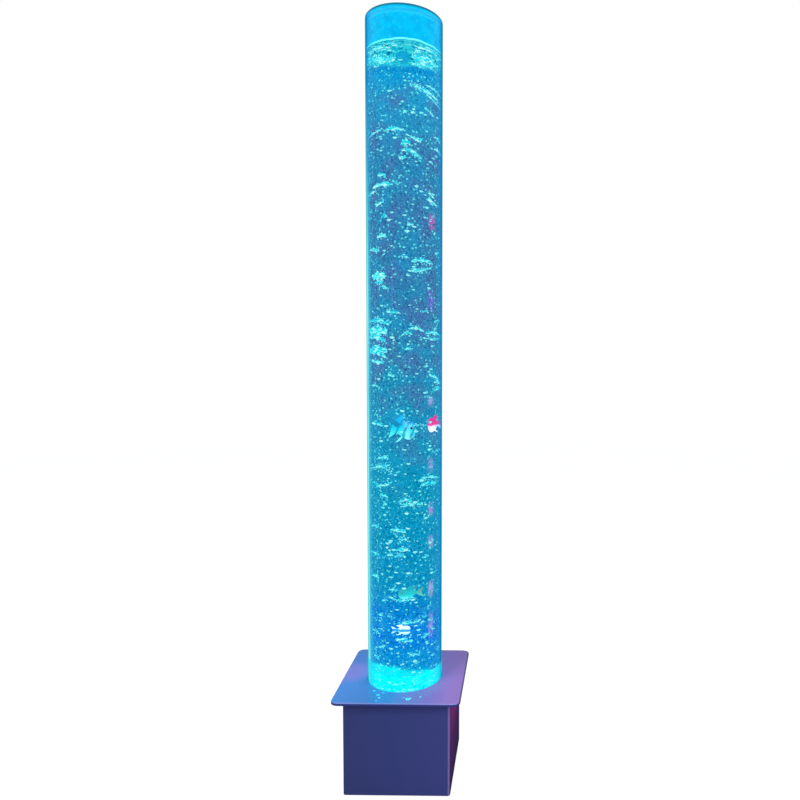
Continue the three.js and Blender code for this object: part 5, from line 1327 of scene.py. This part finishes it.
# %% Metals of the fittings and the pump
aluminium = grained("extruded_aluminium", (0xA8ACB0, 0xB8BCC0, 0xC8CCD0), 1.5, (0.28, 0.42), 0.03,
                    stretch=(1, 0.06, 1), Metallic=1.0)
brass = grained("turned_brass", (0xB08A3A, 0xC29C4A, 0xD2B064), 2, (0.22, 0.36), 0.02,
                stretch=(1, 0.2, 1), bands=(1.2, 0x9A7630, 0.35, 0.3, {"bands_direction": "Y"}),
                Metallic=1.0)
zinc = grained("zinc_plated_steel", (0xA4AAB2, 0xB6BCC2, 0xC6CACE), 4, (0.25, 0.42), 0.02, Metallic=1.0)
iron = grained("stamped_iron_sheets", (0x5A5C60, 0x686A6E, 0x76787C), 2, (0.4, 0.55), 0.03,
               bands=(1, 0x303236, 0.7, 0.1, {"bands_direction": "Y"}), Metallic=1.0)
copper = grained("enamelled_copper_wire", (0x9A4A22, 0xB05A2C, 0xC06A38), 1, (0.3, 0.4), 0.03,
                 bands=(0.8, 0x5A2410, 0.7, 0.1, {"bands_direction": "X"}), Metallic=0.8)
ferrite = grained("sintered_ferrite", (0x303236, 0x3A3C40, 0x46484C), 0.9, (0.5, 0.65), 0.03)
softened("drain_tap", brass, 0.25 * MM)
softened("inlet_nut", zinc, 0.2 * MM)
dress(aluminium, "heat_sink")
dress(brass, "air_nozzle", "drain_fitting")
dress(zinc, "drain_ball", "pump_arm", *("cover_screw_" + corner for corner in CORNERS),
      *("flange_screw_" + corner for corner in CORNERS))
dress(iron, "pump_core")
dress(copper, "pump_coil")
dress(ferrite, "pump_magnet")

# %% [markdown]
# A circuit board is one solid in the packed model, with everything that is soldered to it. Its finish goes
# by how far a point stands out from the board: first the lacquered board with tinned pads, then the flat
# parts, then the tall ones. The lamps are pale yellow, because white lamps are blue ones under phosphor.

# %% Circuit boards
def layered(name, node, axis, layers):
    """A board and what stands on it: each layer starts so many millimetres above the board's foot, with
    tinned pads strewn over the first and a fine mottle over all of them."""
    number = "XYZ".index(axis)
    low, high = (corner[number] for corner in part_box(node))
    total = (high - low) / MM
    look = Look(name, Roughness=0.42)
    spot = look.spot()
    share = look.spread(look.axes(spot)[number], low, high)
    ends = [start for start, _ in layers[1:]] + [total]
    stops = [(place / total, code) for (start, code), end in zip(layers, ends)
             for place in (start + 0.05, end - 0.05)]
    pads = look.spread(look.cells(spot, 4), 0.2, 0.16)
    flat = look.spread(share, (ends[0] + 0.1) / total, ends[0] / total)
    tinned = look.mix(look.scaled(pads, flat), look.ramp(share, stops), 0xC4C8C6)
    shade = look.ramp(look.noise(spot, 2, 3.0), ((0.3, 0xD8D8D8), (0.6, 0xFFFFFF)))
    look.give(look.mix(1.0, tinned, shade, "MULTIPLY"), "Base Color")
    return look.material


dress(layered("white_lamp_board", "led_board", "Z",
              ((0, 0xE6EAE8), (1.7, 0xE8D078), (3.2, 0xECE4D0))), "led_board")
dress(layered("green_controller_board", "controller_board", "X",
              ((0, 0x1C6C44), (1.7, 0x1C1E22), (4.7, 0x2A5C90), (9, 0xB4B8BC))), "controller_board")

# %% [markdown]
# Silicone hose is extruded and milky, and the leads have a soft dark sheath with a dull shine. The seal in
# the lid's groove is clear silicone that stands in the light of the tube, so it glows as the mist round it
# does. The square flange at the tube's foot is cast acrylic, and there it is real glass-clear sheet.

# %% Hoses, leads, seal and flange
milky = grained("extruded_milky_silicone", (0xC4D2D6, 0xD2DEE0, 0xE0EAEA), 6, (0.3, 0.42), 0.03)
sheath = grained("extruded_soft_sheath", (0x1A1B1E, 0x222428, 0x2C2E32), 1.6, (0.42, 0.56), 0.03)
dress(milky, "air_hose", "pump_hose", "drain_hose")
dress(sheath, "power_lead", "switch_lead", "lamp_lead", "pump_lead")
clear_silicone = glowing_acrylic("lit_clear_silicone", (0x00B4E4, 0x00C0F0, 0x08CAF8), 9, 0.92)
dress(clear_silicone, "lid_seal")
dress(clear_glassy("cast_clear_acrylic", ACRYLIC, 0xFFFFFF), "tube_flange")
still_plain = [node for node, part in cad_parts.items()
               if node not in dressed and not part.hide_render]
print("CAD parts that keep their own mesh:", len(dressed), "without a finish:", still_plain)

# %% [markdown]
# The pieces are tied to their bodies as each one is built.
